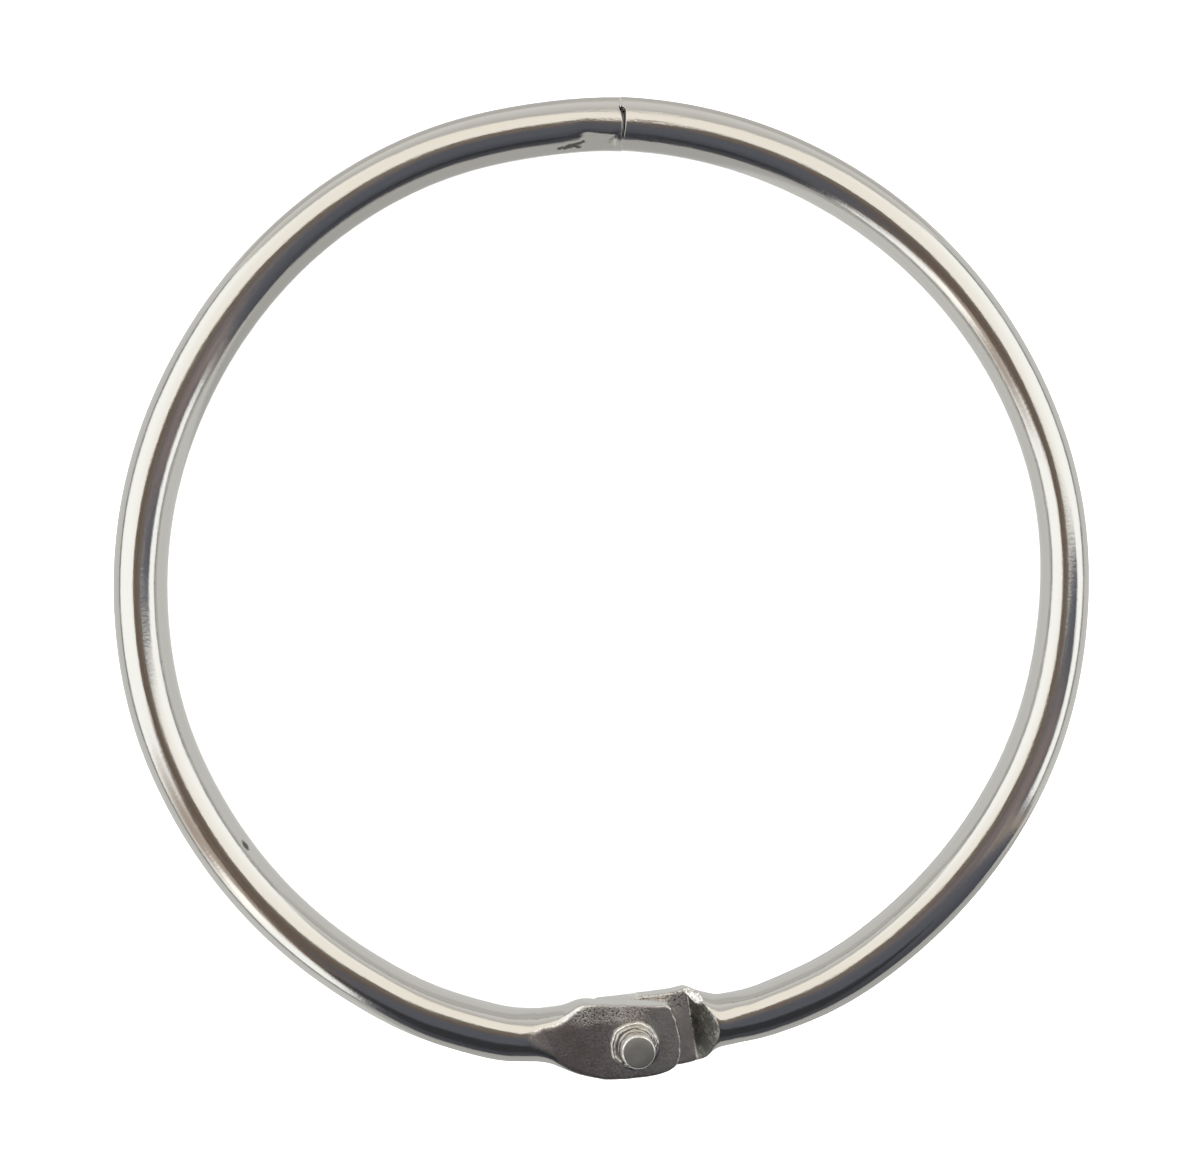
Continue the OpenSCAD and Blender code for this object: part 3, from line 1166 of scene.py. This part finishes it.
class NodeBoard:
    """Adds nodes to one tree and joins them. A value it is given is a socket or a plain value."""

    def __init__(self, tree: bpy.types.NodeTree) -> None:
        """Clears the tree and keeps it."""
        self.tree = tree
        self.tree.nodes.clear()

    def add(self, kind: str, **settings: object) -> bpy.types.Node:
        """Adds a node.

        Args:
            kind: Blender's name of the node type.
            settings: Properties to set on it.

        Returns:
            The new node.
        """
        node = self.tree.nodes.new(kind)
        for name, value in settings.items():
            setattr(node, name, value)
        return node

    def feed(self, target: Socket, value: object) -> None:
        """Links a socket to an input, or sets the input to a plain value.

        Args:
            target: The input.
            value: The socket or plain value.
        """
        if isinstance(value, Socket):
            self.tree.links.new(value, target)
        else:
            target.default_value = value

    def fill(self, node: bpy.types.Node, *values: object) -> bpy.types.Node:
        """Feeds the first inputs of a node in order.

        Args:
            node: The node.
            values: What to feed them.

        Returns:
            The node.
        """
        for socket, value in zip(node.inputs, values):
            self.feed(socket, value)
        return node

    def math(self, operation: str, *values: object) -> Socket:
        """Result of one of Blender's sums on numbers."""
        return self.fill(self.add("ShaderNodeMath", operation=operation), *values).outputs[0]

    def times(self, first: object, second: object) -> Socket:
        """Product of two numbers."""
        return self.math("MULTIPLY", first, second)

    def plus(self, first: object, second: object) -> Socket:
        """Sum of two numbers."""
        return self.math("ADD", first, second)

    def vector(self, operation: str, *values: object) -> Socket:
        """Result of one of Blender's sums on vectors, a number for a length or a dot product."""
        node = self.fill(self.add("ShaderNodeVectorMath", operation=operation), *values)
        return node.outputs["Value" if operation in ("LENGTH", "DOT_PRODUCT") else "Vector"]

    def scaled(self, vector: Socket, factor: object) -> Socket:
        """A vector made longer.

        Args:
            vector: The vector.
            factor: How many times longer.

        Returns:
            The new vector's socket.
        """
        node = self.fill(self.add("ShaderNodeVectorMath", operation="SCALE"), vector)
        self.feed(node.inputs["Scale"], factor)
        return node.outputs[0]

    def turned(self, place: Socket, angle: float) -> Socket:
        """A place turned round the Z axis.

        Args:
            place: The place.
            angle: How far, in radians.

        Returns:
            The new place's socket.
        """
        node = self.add("ShaderNodeMapping")
        node.inputs["Rotation"].default_value = (0.0, 0.0, angle)
        self.feed(node.inputs["Vector"], place)
        return node.outputs["Vector"]

    def object_place(self) -> Socket:
        """Place on the object, in metres."""
        return self.add("ShaderNodeTexCoord").outputs["Object"]

    def height(self, place: Socket) -> Socket:
        """Height of a place."""
        return self.fill(self.add("ShaderNodeSeparateXYZ"), place).outputs["Z"]

    def step(self, value: object, start: float, end: float, *levels: float) -> Socket:
        """Smooth step of a value.

        Args:
            value: Value to step.
            start: Where the step starts.
            end: Where it ends.
            levels: Results before and after it, 0 and 1 if not given.

        Returns:
            The result's socket.
        """
        node = self.add("ShaderNodeMapRange", interpolation_type="SMOOTHSTEP", clamp=True)
        return self.fill(node, value, start, end, *(levels or (0.0, 1.0))).outputs[0]

    def noise(self, place: Socket, scale: float, detail: float = 2.0, rough: float = 0.5) -> Socket:
        """Noise from 0 to 1 at places in millimetres.

        Args:
            place: The places.
            scale: How many features a millimetre.
            detail: How many finer layers.
            rough: How strong the finer layers are.

        Returns:
            The noise's socket.
        """
        node = self.add("ShaderNodeTexNoise")
        inputs = {"Vector": place, "Scale": scale, "Detail": detail, "Roughness": rough}
        for name, value in inputs.items():
            self.feed(node.inputs[name], value)
        return node.outputs["Fac"]

    def mix(self, share: object, first: object, second: object) -> Socket:
        """Colour between two colours.

        Args:
            share: Share of the second colour.
            first: First colour.
            second: Second colour.

        Returns:
            The colour's socket.
        """
        node = self.fill(self.add("ShaderNodeMix", data_type="RGBA"), share)
        self.feed(node.inputs[6], first)
        self.feed(node.inputs[7], second)
        return node.outputs[2]

    def mask(self, name: str) -> Socket:
        """Number that a piece keeps a vertex under a name."""
        return self.add("ShaderNodeAttribute", attribute_name=name).outputs["Fac"]

    def bump(self, shader: bpy.types.Node, height: Socket, depth: float) -> None:
        """Gives a shader a bump.

        Args:
            shader: The shader.
            height: Height of the bump.
            depth: What a height of 1 stands for, in millimetres.
        """
        node = self.add("ShaderNodeBump")
        node.inputs["Strength"].default_value = 1.0
        node.inputs["Distance"].default_value = depth * MM
        self.feed(node.inputs["Height"], height)
        self.feed(shader.inputs["Normal"], node.outputs["Normal"])


def start_material(
    name: str, kind: str = "ShaderNodeBsdfPrincipled"
) -> tuple[bpy.types.Material, NodeBoard, bpy.types.Node]:
    """Starts a material with one shader.

    Args:
        name: The material's name.
        kind: Blender's name of the shader.

    Returns:
        The material, its board and its shader.
    """
    material = bpy.data.materials.new(name)
    material.use_nodes = True
    board = NodeBoard(material.node_tree)
    shader = board.add(kind)
    board.fill(board.add("ShaderNodeOutputMaterial"), shader.outputs[0])
    return material, board, shader


def start_glow(name: str) -> tuple[bpy.types.Material, NodeBoard, bpy.types.Node]:
    """Starts a material that glows and that no light is sampled from.

    Args:
        name: The material's name.

    Returns:
        The material, its board and its shader.
    """
    material, board, glow = start_material(name, "ShaderNodeEmission")
    material.cycles.emission_sampling = "NONE"
    return material, board, glow


class SharedEffects:
    """Node groups that more than one finish uses, each built once."""

    def __init__(self) -> None:
        """Builds the groups."""
        self.grain = self._grain()
        self.mottle = self._mottle()
        self.edge_glint = self._edge_glint()

    def _open(
        self, name: str, outputs: tuple[str, ...], inputs: tuple[str, ...] = ()
    ) -> tuple[NodeBoard, bpy.types.Node, bpy.types.Node]:
        """Starts a group that reads a place.

        Args:
            name: The group's name.
            outputs: Names of the numbers that it gives.
            inputs: Names of the numbers that it reads besides the place.

        Returns:
            Its board, and its input and output nodes.
        """
        group = bpy.data.node_groups.new(name, "ShaderNodeTree")
        group.interface.new_socket("Place", in_out="INPUT", socket_type="NodeSocketVector")
        for in_out, labels in (("INPUT", inputs), ("OUTPUT", outputs)):
            for label in labels:
                group.interface.new_socket(label, in_out=in_out, socket_type="NodeSocketFloat")
        board = NodeBoard(group)
        return board, board.add("NodeGroupInput"), board.add("NodeGroupOutput")

    def _grain(self) -> bpy.types.NodeTree:
        """Fine drawn grain and scuffs of plated wire.

        Returns:
            A group that gives a height for a bump and a mask of scuffs.
        """
        board, given, result = self._open("plate_grain", ("Height", "Scuff"))
        place = given.outputs["Place"]
        lines = board.noise(board.vector("MULTIPLY", place, (0.16, 3.2, 3.2)), 1.0, 3.0, 0.6)
        peel = board.noise(place, 5.2, 3.0, 0.65)
        wave = board.noise(place, 0.28, 1.0, 0.5)
        fine = board.plus(board.times(lines, 1.5), peel)
        streak = board.noise(board.vector("MULTIPLY", place, (0.12, 2.6, 2.6)), 1.0, 4.0, 0.65)
        board.fill(result, board.plus(fine, board.times(wave, 3.0)), board.step(streak, 0.52, 0.75))
        return board.tree

    def _mottle(self) -> bpy.types.NodeTree:
        """Mottled pressed metal with small pits.

        Returns:
            A group that gives the mottling, the pits and a slow tint.
        """
        board, given, result = self._open("pressed_mottle", ("Mottle", "Pits", "Tint"))
        place = given.outputs["Place"]
        broad = board.noise(place, 0.9, 3.0, 0.6)
        fine = board.noise(place, 5.5, 4.0, 0.65)
        rough = board.noise(place, 6.5, 2.0, 0.6)
        tint = board.noise(board.vector("ADD", place, (7.0, 3.0, 0.0)), 0.45, 3.0, 0.6)
        mottle = board.plus(board.times(broad, 0.5), board.times(fine, 0.5))
        board.fill(result, mottle, board.step(rough, 0.4, 0.62), board.step(tint, 0.42, 0.66))
        return board.tree

    def _edge_glint(self) -> bpy.types.NodeTree:
        """Painted highlights along edges, broken up with noise.

        Returns:
            A group that gives the mask of the painted highlights.
        """
        board, given, result = self._open("painted_edge_glint", ("Glint",), ("Edge",))
        broken = board.noise(given.outputs["Place"], 3.2, 4.0, 0.7)
        worn_glint = board.times(given.outputs["Edge"], board.step(broken, 0.3, 0.6))
        board.fill(result, board.step(worn_glint, 0.25, 0.85))
        return board.tree

    def use(self, board: NodeBoard, group: bpy.types.NodeTree, *values: Socket) -> bpy.types.Node:
        """Places a group in a material and feeds its inputs in order."""
        return board.fill(board.add("ShaderNodeGroup", node_tree=group), *values)


@dataclass(frozen=True)
class NickelPlate:
    """Bright nickel plate on drawn wire, dull and mottled where the press or the lap marked it.

    A share is how much of a colour its mask lets in, and a height is what a mask adds to the bump.
    """

    effects: SharedEffects
    plate: Colour = (0.70, 0.68, 0.645, 1.0)
    pressed_dark: Colour = (0.33, 0.308, 0.29, 1.0)
    pressed_light: Colour = (0.66, 0.63, 0.595, 1.0)
    pressed_tint: Colour = (0.46, 0.39, 0.385, 1.0)
    shoulder_dark: Colour = (0.15, 0.149, 0.136, 1.0)
    shoulder_light: Colour = (0.52, 0.51, 0.47, 1.0)
    blush: Colour = (0.29, 0.235, 0.23, 1.0)
    lap_light: Colour = (0.84, 0.79, 0.74, 1.0)
    worn_glint: Colour = (0.95, 0.93, 0.88, 1.0)
    scar_and_shade_dark: Colour = (0.15, 0.148, 0.135, 1.0)
    pit_dark: Colour = (0.16, 0.15, 0.14, 1.0)
    shade: Colour = (0.22, 0.205, 0.185, 1.0)
    tint_share: float = 0.55
    face_sheen_share: float = 0.55
    blush_share: float = 0.6
    lap_share: float = 0.75
    glint_share: float = 0.2
    plate_rough: float = 0.12
    scuff_rough: float = 0.07
    mottle_rough: Span = (0.44, 0.32)
    pit_height: float = 6.0
    mottle_height: float = 10.0
    worked_height: float = 2.4
    bump_depth: float = 0.005
    pit_place: tuple[float, float, float] = (133.2, -1.8, 0.87)
    pit_scale: tuple[float, float, float] = (1.5, 3.4, 3.4)

    def material(self) -> bpy.types.Material:
        """The finish as a material.

        Returns:
            The material.
        """
        material, board, shader = start_material("nickel_plate")
        effects = self.effects
        place = board.add("ShaderNodeAttribute", attribute_name="unrolled").outputs["Vector"]
        marked = board.math("MAXIMUM", board.mask("pressed"), board.mask("lapped"))
        grain = effects.use(board, effects.grain, place)
        mottle = effects.use(board, effects.mottle, place)
        # Painted highlights along the edges
        edge_glint = effects.use(board, effects.edge_glint, place, board.mask("edge")).outputs["Glint"]
        colour = self._colour(board, place, self._face(board, mottle), marked, edge_glint)
        board.feed(shader.inputs["Base Color"], colour)
        # Painted highlight: glint spots lose some metal so that the room light shows them white
        bright = board.times(board.times(edge_glint, board.mask("white_glint")), self.glint_share)
        matt = board.math("MAXIMUM", board.mask("seam"), bright)
        board.feed(shader.inputs["Metallic"], board.math("SUBTRACT", 1.0, matt))
        plain = board.plus(board.times(grain.outputs["Scuff"], self.scuff_rough), self.plate_rough)
        face = board.step(mottle.outputs["Mottle"], 0.3, 0.7, *self.mottle_rough)
        more = board.times(marked, board.math("SUBTRACT", face, plain))
        board.feed(shader.inputs["Roughness"], board.plus(plain, more))
        pitted = board.times(board.mask("pitted"), board.mask("pressed"))
        pits = board.times(board.times(mottle.outputs["Pits"], pitted), self.pit_height)
        rough = board.times(board.times(mottle.outputs["Mottle"], marked), self.mottle_height)
        worked = board.plus(board.times(board.mask("worked"), self.worked_height), 1.0)
        drawn = board.times(grain.outputs["Height"], worked)
        board.bump(shader, board.plus(drawn, board.plus(pits, rough)), self.bump_depth)
        return material

    def _face(self, board: NodeBoard, mottle: bpy.types.Node) -> Socket:
        """Colour of the pressed and lapped faces.

        Args:
            board: The material's board.
            mottle: The placed mottling group.

        Returns:
            The colour's socket.
        """
        mottled, pits, tint = mottle.outputs
        pitted = board.mask("pitted")
        face = board.mix(board.step(mottled, 0.4, 0.6), self.pressed_dark, self.pressed_light)
        layers = (
            (board.times(tint, self.tint_share), self.pressed_tint),
            # painted sheen towards the tip and the root of the pressed face
            (board.times(board.mask("face_sheen"), self.face_sheen_share), self.pressed_light),
            (board.times(board.mask("blushed"), self.blush_share), self.blush),
            (board.times(board.mask("lapped"), self.lap_share), self.lap_light),
            (board.times(board.step(pits, 0.12, 0.0), pitted), self.pit_dark),
            (board.times(board.step(pits, 0.9, 1.2), pitted), self.worn_glint),
        )
        for share, colour in layers:
            face = board.mix(share, face, colour)
        dull = board.mix(board.step(mottled, 0.46, 0.7), self.shoulder_dark, self.shoulder_light)
        return board.mix(board.mask("shoulder"), face, dull)

    def _colour(
        self, board: NodeBoard, place: Socket, face: Socket, marked: Socket, edge_glint: Socket
    ) -> Socket:
        """Colour of the plate, marked faces, painted edge highlights, scars, painted seam shade and a
        pit.

        Args:
            board: The material's board.
            place: Place along the unrolled wire.
            face: Colour of the marked faces.
            marked: Mask of the marked faces.
            edge_glint: Mask of the painted highlights along the edges.

        Returns:
            The colour's socket.
        """
        broken_scar_and_shade = board.plus(board.mask("scar_and_shade"), board.times(board.noise(place, 4.0), 0.9))
        apart = board.vector("SUBTRACT", place, self.pit_place)
        reach = board.vector("LENGTH", board.vector("MULTIPLY", apart, self.pit_scale))
        reach = board.plus(reach, board.times(board.noise(place, 5.0), 0.7))
        colour = board.mix(marked, self.plate, face)
        layers = (
            # painted highlights along the edges
            (edge_glint, self.worn_glint),
            (board.mask("seam"), self.shade),
            # scars, and painted shade along the seam's tail
            (board.step(broken_scar_and_shade, 0.8, 1.35), self.scar_and_shade_dark),
            (board.step(reach, 1.25, 0.8), self.scar_and_shade_dark),
        )
        for share, layer in layers:
            colour = board.mix(share, colour, layer)
        return colour


@dataclass(frozen=True)
class StakedMetal:
    """Nickel on the staked rivet, with painted highlights on its collar and end, and dull on its cut end.
    """

    effects: SharedEffects
    plate: Colour = (0.70, 0.68, 0.645, 1.0)
    cut_dark: Colour = (0.49, 0.478, 0.45, 1.0)
    bright: Colour = (0.9, 0.88, 0.84, 1.0)
    plate_rough: Span = (0.16, 0.28)
    cut_rough: float = 0.28
    bump_depth: float = 0.012

    def material(self) -> bpy.types.Material:
        """The finish as a material.

        Returns:
            The material.
        """
        material, board, shader = start_material("staked_metal")
        shader.inputs["Metallic"].default_value = 1.0
        effects = self.effects
        place = board.scaled(board.object_place(), 1 / MM)
        cut = board.mask("pressed")
        mottle = effects.use(board, effects.mottle, place).outputs["Mottle"]
        # Painted highlight on the collar and the stub's end
        edge_glint = effects.use(board, effects.edge_glint, place, board.mask("edge")).outputs["Glint"]
        colour = board.mix(edge_glint, self.plate, self.bright)
        board.feed(shader.inputs["Base Color"], board.mix(cut, colour, self.cut_dark))
        plain = board.step(mottle, 0.3, 0.7, *self.plate_rough)
        board.feed(shader.inputs["Roughness"], board.plus(plain, board.times(cut, self.cut_rough)))
        board.bump(shader, mottle, self.bump_depth)
        return material


@dataclass(frozen=True)
class PaleFloor:
    """Plain matt white floor."""

    colour: Colour = (0.9, 0.9, 0.9, 1.0)
    roughness: float = 0.8

    def material(self) -> bpy.types.Material:
        """The finish as a material.

        Returns:
            The material.
        """
        material, _, shader = start_material("pale_floor")
        shader.inputs["Base Color"].default_value = self.colour
        shader.inputs["Roughness"].default_value = self.roughness
        return material


@dataclass(frozen=True)
class Area:
    """Straight-sided patch of the tent, with corners that run counter-clockwise and all bulge out."""

    corners: tuple[Place, ...]
    soft: float

    def mask(self, board: NodeBoard, place: Socket) -> Socket:
        """Mask of the patch.

        Args:
            board: The tent's board.
            place: Place on the tent laid flat.

        Returns:
            The mask, 1 inside.
        """
        edges = []
        for (ax, ay), (bx, by) in zip(self.corners, self.corners[1:] + self.corners[:1]):
            length = math.hypot(bx - ax, by - ay)
            normal = ((ay - by) / length, (bx - ax) / length, 0.0)
            offset = normal[0] * ax + normal[1] * ay
            inside = board.vector("DOT_PRODUCT", place, normal)
            edges.append(board.step(inside, offset - self.soft, offset + self.soft))
        return reduce(board.times, edges)


@dataclass(frozen=True)
class Spot:
    """Round or long patch of the tent, with half sizes, a heading in degrees and a soft share."""

    centre: Place
    radii: Place
    heading: float
    soft: float

    def mask(self, board: NodeBoard, place: Socket) -> Socket:
        """Mask of the patch.

        Args:
            board: The tent's board.
            place: Place on the tent laid flat.

        Returns:
            The mask, 1 inside.
        """
        moved = board.vector("SUBTRACT", place, (*self.centre, 0.0))
        turned = board.turned(moved, math.radians(-self.heading))
        scaled = board.vector("MULTIPLY", turned, (1 / self.radii[0], 1 / self.radii[1], 0.0))
        return board.step(board.vector("LENGTH", scaled), 1.0 + self.soft, 1.0 - self.soft)


@dataclass(frozen=True)
class SoftTent:
    """Glow of the soft tent over the ring: pale, with a dark camera stand and its boom in it.

    Places on the tent are flat: straight up is the middle and the horizon is at 1, with the
    picture's own right and up as the axes.
    """

    picture_turn: float
    white: Colour = (1.3, 1.32, 1.31, 1.0)
    cream: Colour = (1.15, 1.1, 1.0, 1.0)
    pale: Colour = (0.70, 0.705, 0.69, 1.0)
    line: Colour = (0.26, 0.26, 0.255, 1.0)
    low: Colour = (0.5, 0.5, 0.49, 1.0)
    slate: Colour = (0.12, 0.128, 0.155, 1.0)
    deep: Colour = (0.075, 0.08, 0.095, 1.0)
    dusk: Colour = (0.2, 0.175, 0.155, 1.0)
    brown: Colour = (0.175, 0.13, 0.1, 1.0)
    blush: Colour = (0.27, 0.22, 0.215, 1.0)
    tan: Colour = (0.5, 0.42, 0.36, 1.0)
    glare: Colour = (1.6, 1.55, 1.48, 1.0)
    line_start: Span = (0.83, 0.87)
    line_end: Span = (0.915, 0.955)
    deep_reach: Span = (0.3, 0.7)
    warm: Spot = Spot((0.0, 0.42), (0.4, 0.42), 0.0, 0.6)
    ground: Area = Area(((2.5, -0.62), (-0.1, -0.62), (-0.5, -0.78), (-0.5, -2.5), (2.5, -2.5)), 0.03)
    shelf: Spot = Spot((-0.47, -0.32), (0.26, 0.11), 20.0, 0.5)
    stand_rim: Area = Area(((-0.1, 0.06), (-0.31, -0.3), (-0.36, -0.55), (0.0, -0.3), (0.1, 0.0)), 0.02)
    stand: Area = Area(
        ((-0.03, 0.05), (-0.43, -0.72), (-0.33, -0.94), (0.25, -0.97), (0.64, -0.71), (0.95, -0.5)), 0.014
    )
    boom: Area = Area(
        ((0.0, 0.015), (0.0, -0.06), (0.5, -0.285), (0.57, -0.2), (0.6, -0.1), (0.5, 0.052)), 0.014
    )
    boom_sheen: Spot = Spot((0.3, -0.12), (0.22, 0.06), -12.0, 0.7)
    slit: Area = Area(((0.26, -0.15), (0.26, -0.18), (0.95, -0.56), (0.96, -0.53)), 0.008)
    camera_case: Spot = Spot((-0.07, 0.0), (0.17, 0.105), 8.0, 0.08)
    clamp: Spot = Spot((-0.17, -0.12), (0.19, 0.068), 28.0, 0.12)
    lens: Spot = Spot((0.01, 0.0), (0.035, 0.084), 0.0, 0.12)
    flare: Spot = Spot((-0.47, -0.41), (0.13, 0.05), 40.0, 0.35)

    def _flat_place(self, board: NodeBoard) -> tuple[Socket, Socket]:
        """Place on the tent laid flat.

        Args:
            board: The tent's board.

        Returns:
            The place, and its distance from the middle.
        """
        unit = board.vector("NORMALIZE", board.turned(board.object_place(), self.picture_turn))
        reach = board.times(board.math("ARCCOSINE", board.height(unit)), 2 / math.pi)
        level = board.vector("MULTIPLY", unit, (1.0, 1.0, 0.0))
        return board.scaled(board.vector("NORMALIZE", level), reach), reach

    def material(self) -> bpy.types.Material:
        """The glow as a material, with each patch laid over those before it.

        Returns:
            The material.
        """
        material, board, glow = start_glow("soft_tent")
        place, reach = self._flat_place(board)
        colour = board.mix(self.warm.mask(board, place), self.white, self.cream)
        colour = board.mix(board.step(reach, *self.line_start), colour, self.line)
        colour = board.mix(board.step(reach, *self.line_end), colour, self.pale)
        ahead = board.vector("DOT_PRODUCT", place, (0.0, -1.0, 0.0))
        dark = board.mix(board.step(ahead, *self.deep_reach), self.slate, self.deep)
        patches = (
            (self.ground, self.low),
            (self.shelf, self.tan),
            (self.stand_rim, self.brown),
            (self.stand, dark),
            (self.boom, dark),
            (self.boom_sheen, self.blush),
            (self.slit, self.tan),
            (self.camera_case, self.brown),
            (self.clamp, self.brown),
            (self.lens, self.dusk),
            (self.flare, self.glare),
        )
        for patch, patch_colour in patches:
            colour = board.mix(patch.mask(board, place), colour, patch_colour)
        board.feed(glow.inputs["Color"], colour)
        return material


@dataclass
class Studio:
    """Floor, soft light and camera."""

    sizes: RingSizes
    camera_height: float = 101.0
    focal_pixels: float = 1292.0
    image_width: float = 1200.0
    sensor_width: float = 36.0
    picture_turn: float = math.radians(4.31)
    ring_right: float = 1.0
    floor_size: float = 3000.0
    room_strength: float = 3.2
    tent_r: float = 235.0
    wall_height: float = 102.0
    wall_foot: Span = (2.0, -12.0)
    wall_low: Colour = (0.82, 0.82, 0.8, 1.0)
    wall_high: Colour = (0.6, 0.595, 0.575, 1.0)
    wall_shade: Colour = (0.58, 0.575, 0.555, 1.0)
    card_height: float = 50.0
    card_near: Place = (-45.0, -130.0)
    card_far: Place = (60.0, -58.0)
    card_dark: Colour = (0.042, 0.044, 0.05, 1.0)
    wall_plan: tuple[Place, ...] = (
        (164.0, 164.0),
        (95.0, 164.0),
        (32.0, 121.0),
        (0.0, 107.0),
        (-35.0, 130.0),
        (-90.0, 156.0),
        (-176.0, 148.0),
    )

    def build(self) -> None:
        """Builds the floor, the light and the camera."""
        self._add_floor()
        self._add_tent()
        self._add_wall()
        self._add_card()
        self._add_world()
        self._add_camera()

    def _only_mirrored(self, piece: bpy.types.Object, material: bpy.types.Material) -> None:
        """Makes a light that only mirror rays see and marks it as no part of the ring.

        Args:
            piece: The light's object.
            material: Its glow.
        """
        piece.data.materials.append(material)
        piece.visible_camera = False
        piece.visible_diffuse = False
        piece.visible_shadow = False
        piece.visible_transmission = False

    def _add_floor(self) -> None:
        """Adds the pale floor, which the wire doesn't mirror because the tent goes below it."""
        deselect_all()
        bpy.ops.mesh.primitive_plane_add(size=self.floor_size * MM)
        floor = name_new("floor")
        floor.data.materials.append(PaleFloor().material())
        floor.visible_glossy = False

    def _add_tent(self) -> None:
        """Adds the tent that the metal mirrors."""
        deselect_all()
        bpy.ops.mesh.primitive_uv_sphere_add(segments=96, ring_count=48, radius=self.tent_r * MM)
        tent = name_new("soft_tent")
        bpy.ops.object.shade_smooth()
        self._only_mirrored(tent, SoftTent(self.picture_turn).material())

    def _add_wall(self) -> None:
        """Adds the pale curved wall of the tent that stands up beyond the top of the picture."""
        deselect_all()
        last = len(self.wall_plan) - 1
        bpy.ops.mesh.primitive_grid_add(x_subdivisions=last, y_subdivisions=1, size=1.0)
        wall = name_new("tent_wall")
        points = read_points(wall) * MM
        columns = np.rint((points[:, 0] + 0.5) * last).astype(int)
        level = np.where(points[:, 1] > 0.0, self.wall_height, -self.wall_height)
        self._stand(wall, np.array(self.wall_plan)[columns], level)
        material, board, glow = start_glow("tent_wall")
        height = board.height(board.object_place())
        top = board.step(height, 0.0, self.wall_height * MM)
        foot = board.step(height, *np.multiply(self.wall_foot, MM))
        colour = board.mix(foot, board.mix(top, self.wall_low, self.wall_high), self.wall_shade)
        board.feed(glow.inputs["Color"], colour)
        self._only_mirrored(wall, material)

    def _stand(self, piece: bpy.types.Object, plan: np.ndarray, level: np.ndarray) -> None:
        """Puts a light's corners at places seen straight in the picture.

        Args:
            piece: The light's object.
            plan: Place of each corner to the picture's right and up.
            level: Height of each corner over the plane of the ring.
        """
        cos, sin = math.cos(self.picture_turn), math.sin(self.picture_turn)
        across = plan[:, 0] * cos + plan[:, 1] * sin
        ahead = plan[:, 1] * cos - plan[:, 0] * sin
        write_points(piece, np.c_[across, ahead, level + self.sizes.ring_z])

    def _add_card(self) -> None:
        """Adds the dark card that hangs low beyond the hinge."""
        deselect_all()
        bpy.ops.mesh.primitive_plane_add(size=1.0)
        card = name_new("dark_card")
        plan = np.where(read_points(card)[:, :2] > 0.0, self.card_far, self.card_near)
        self._stand(card, plan, np.full(len(plan), self.card_height))
        material, _, glow = start_glow("dark_card")
        glow.inputs["Color"].default_value = self.card_dark
        self._only_mirrored(card, material)

    def _add_world(self) -> None:
        """Fills the room with plain white light, bright enough to wash the floor white."""
        world = bpy.data.worlds.new("soft_room")
        world.use_nodes = True
        board = NodeBoard(world.node_tree)
        light = board.add("ShaderNodeBackground")
        light.inputs["Color"].default_value = (1.0, 1.0, 1.0, 1.0)
        light.inputs["Strength"].default_value = self.room_strength
        board.fill(board.add("ShaderNodeOutputWorld"), light.outputs[0])
        bpy.context.scene.world = world
        bpy.context.scene.view_settings.view_transform = "Standard"

    def _add_camera(self) -> None:
        """Adds the camera straight above the ring, close to it."""
        data = bpy.data.cameras.new("camera")
        data.sensor_fit = "HORIZONTAL"
        data.sensor_width = self.sensor_width
        data.lens = self.focal_pixels / self.image_width * self.sensor_width
        data.shift_x = -self.ring_right / self.image_width
        data.clip_start = 1 * MM
        data.dof.use_dof = False
        camera = bpy.data.objects.new("camera", data)
        bpy.context.scene.collection.objects.link(camera)
        camera.location = (0.0, 0.0, (self.sizes.ring_z + self.camera_height) * MM)
        camera.rotation_euler = (0.0, 0.0, -self.picture_turn)
        bpy.context.scene.camera = camera


def main() -> None:
    """Builds every piece in order."""
    logging.basicConfig(level=logging.INFO, format="%(name)s: %(message)s")
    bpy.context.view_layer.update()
    sizes = RingSizes()
    effects = SharedEffects()
    plate = NickelPlate(effects).material()
    left_bends = (
        Bend(7.2, 2.0, shift=-0.42),
        Bend(14.0, 10.0, flat=0.45),
        Bend(17.0, 3.5, shift=0.1),
        Bend(47.0, 6.0, shift=0.09),
        Bend(76.0, 11.0, shift=-0.15),
        Bend(108.0, 6.0, shift=-0.17),
    )
    right_bends = (
        Bend(6.8, 2.0, shift=-0.36),
        Bend(9.0, 5.0, shift=-0.4),
        Bend(9.0, 3.0, trim=0.2),
        Bend(16.0, 22.0, flat=0.35),
        Bend(23.0, 8.0, shift=-0.12),
        Bend(41.0, 6.0, shift=0.08),
        Bend(59.0, 7.0, shift=0.1),
        Bend(64.0, 20.0, trim=0.52),
    )
    finished = (
        (HalfRing(Side.LEFT, sizes, left_bends), plate),
        (HalfRing(Side.RIGHT, sizes, right_bends), plate),
        (HingeRivet(sizes), StakedMetal(effects).material()),
    )
    for part, material in finished:
        piece = part.build()
        part.dress(material)
        log.info("%s has %d faces", piece.name, len(piece.data.polygons))
    Studio(sizes).build()
    log.info("studio is set")


if __name__ == "__main__":
    main()
